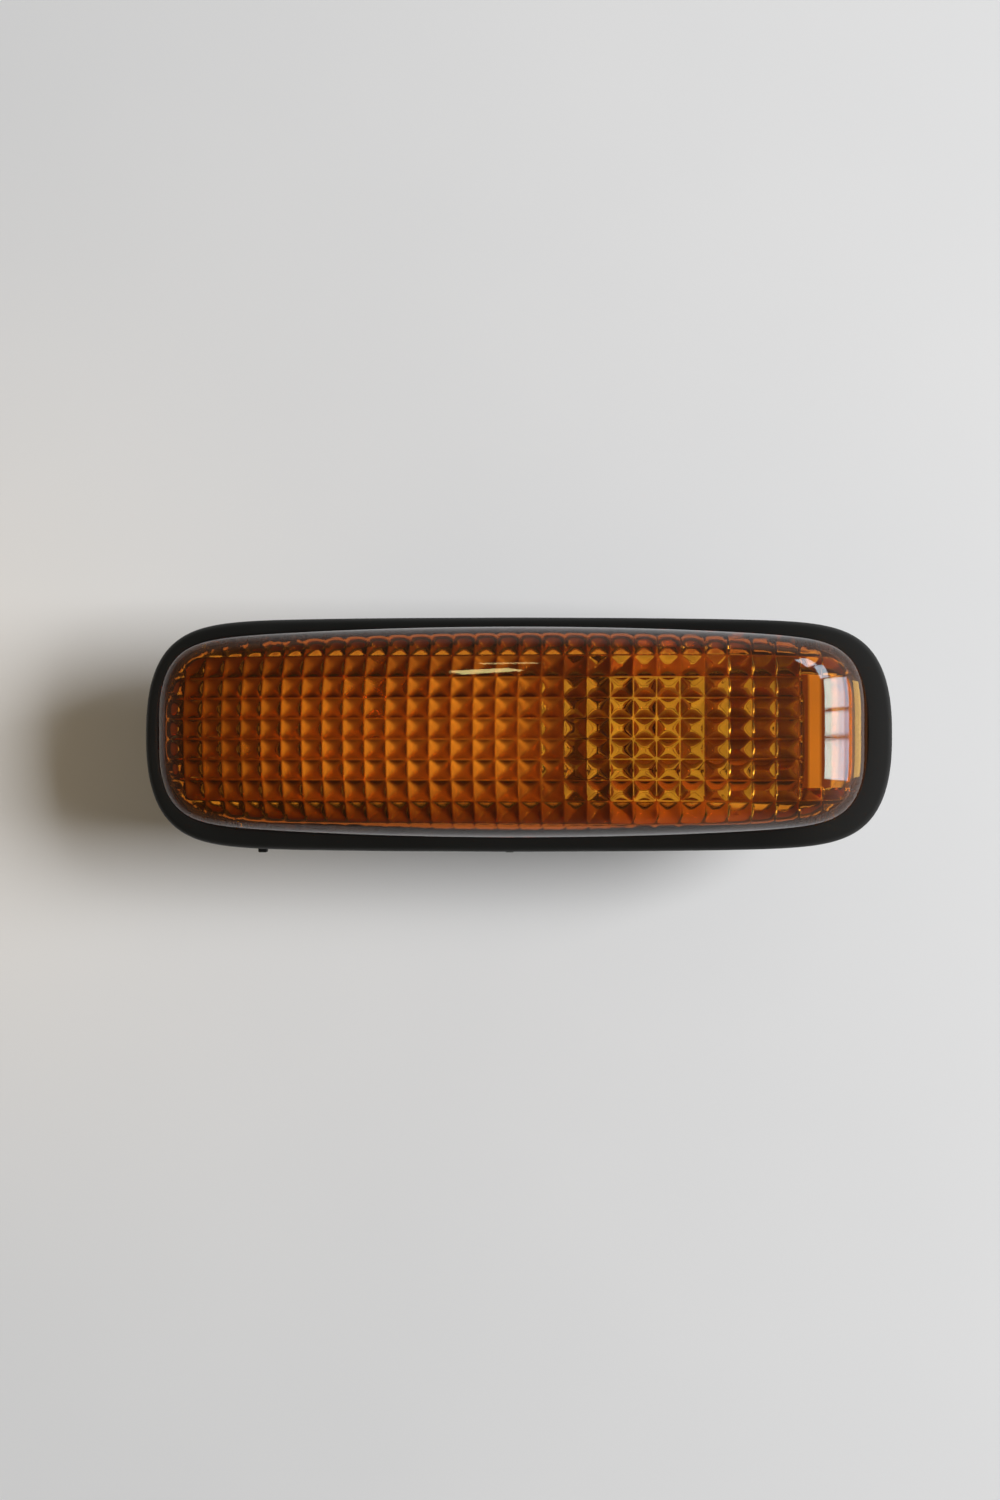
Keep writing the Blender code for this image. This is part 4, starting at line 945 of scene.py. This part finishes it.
def add_area(name, receivers, place, aim, size, radiance, colour):
    lamp = bpy.data.lights.new(name, "AREA")
    lamp.shape = "RECTANGLE"
    lamp.size, lamp.size_y = size
    lamp.energy = radiance * math.pi * size[0] * size[1]
    lamp.color = colour
    item = bpy.data.objects.new(name, lamp)
    item.location = place
    item.rotation_euler = (Vector(aim) - Vector(place)).to_track_quat("-Z", "Y").to_euler()
    item.visible_camera = False
    item.light_linking.receiver_collection = receivers
    bpy.context.scene.collection.objects.link(item)
    return item


window_receivers = collect("window_receivers", [lens])
tray_receivers = collect("tray_receivers", [reflector, bulb_glass, filament, *leads])
meshes = [item for item in bpy.context.scene.objects if item.type == "MESH"]
room_receivers = collect("room_receivers",
                         [item for item in meshes if item.name not in tray_receivers.objects])

# The reflections in the lens: the panes in bands that grow brighter upwards, two side panes in the
# far corner of the tall end, and two gleams on the dome.
for number, (near, far) in enumerate(PANES):
    for band, (radiance, colour) in enumerate(PANE_BANDS):
        middle = Vector((WINDOW_DISTANCE, (near + far) / 2, PANE_LOW + BAND_HEIGHT * (band + 0.5)))
        add_area(f"window_pane_{number}_{band}", window_receivers, middle,
                 middle - Vector((1.0, 0.0, 0.0)), (far - near, BAND_HEIGHT), radiance, colour)
corner = lens_high - CORNER_INSET
for number, (azimuth, rise) in enumerate(SIDE_PANES):
    turn = Euler((0.0, -math.radians(rise), math.radians(azimuth))).to_matrix()
    middle = corner + turn @ Vector((WINDOW_DISTANCE, 0.0, 0.0))
    add_area(f"side_pane_{number}", window_receivers, middle, corner, SIDE_PANE_SIZE,
             SIDE_PANE_RADIANCE, SIDE_PANE_COLOUR)
for number, (middle, size, radiance) in enumerate(GLEAMS):
    add_area(f"gleam_{number}", window_receivers, middle, (0.0, GLEAM_LINE, lens_high.z), size, radiance,
             GLEAM_COLOUR)

# The table's lamp and the amber light that the lens throws beside its low end light all but the tray
# and the bulb. A low gleam lights the tall end of the lens.
table_lamp = add_area("table_lamp", room_receivers, *TABLE_LAMP)
amber_spill = add_area("amber_spill", room_receivers, *AMBER_SPILL)
for lamp in (table_lamp, amber_spill):
    lamp.visible_glossy = False
    lamp.visible_transmission = False
add_area("end_gleam", window_receivers, *END_GLEAM)

# Light that has come through the lens: a soft light on the tray, a faint red glow from the low end
# and a narrow beam on the floor of the bowl.
add_area("tray_light", tray_receivers, *TRAY_LIGHT)
add_area("tray_glow", tray_receivers, *TRAY_GLOW)
bowl_light = add_area("bowl_light", tray_receivers, *BOWL_LIGHT)
bowl_light.data.spread = BOWL_SPREAD

# The room itself: brighter below than above, and brighter and cooler towards the window.
world = bpy.data.worlds.new("room")
bpy.context.scene.world = world
world.use_nodes = True
tree = world.node_tree
background = tree.nodes["Background"]
place = add_node(tree, "ShaderNodeTexCoord")
axes = add_node(tree, "ShaderNodeSeparateXYZ")
tree.links.new(place.outputs["Generated"], axes.inputs["Vector"])
rise = add_node(tree, "ShaderNodeValToRGB")
stops = rise.color_ramp.elements
for position, level in ROOM_LEVELS[1:-1]:
    stops.new(position)
for stop, (position, level) in zip(stops, ROOM_LEVELS):
    stop.position = position
    stop.color = (level, level, level, 1.0)
tree.links.new(axes.outputs["Z"], rise.inputs["Fac"])
toward = add_node(tree, "ShaderNodeVectorMath", operation="DOT_PRODUCT")
toward.inputs[1].default_value = WINDOW_WAY
tree.links.new(place.outputs["Generated"], toward.inputs[0])
side = spread(tree, toward.outputs["Value"], *SIDE_STRENGTHS, *SIDE_SPAN)
tint = blend_colours(tree, spread(tree, toward.outputs["Value"], 0.0, 1.0, *SIDE_SPAN), *SIDE_TINTS)
shade = add_node(tree, "ShaderNodeMix", data_type="RGBA", blend_type="MULTIPLY")
shade.inputs[0].default_value = 1.0
tree.links.new(rise.outputs["Color"], shade.inputs[6])
tree.links.new(tint, shade.inputs[7])
tree.links.new(shade.outputs[2], background.inputs["Color"])
tree.links.new(side, background.inputs["Strength"])

bpy.context.scene.view_settings.view_transform = "Standard"
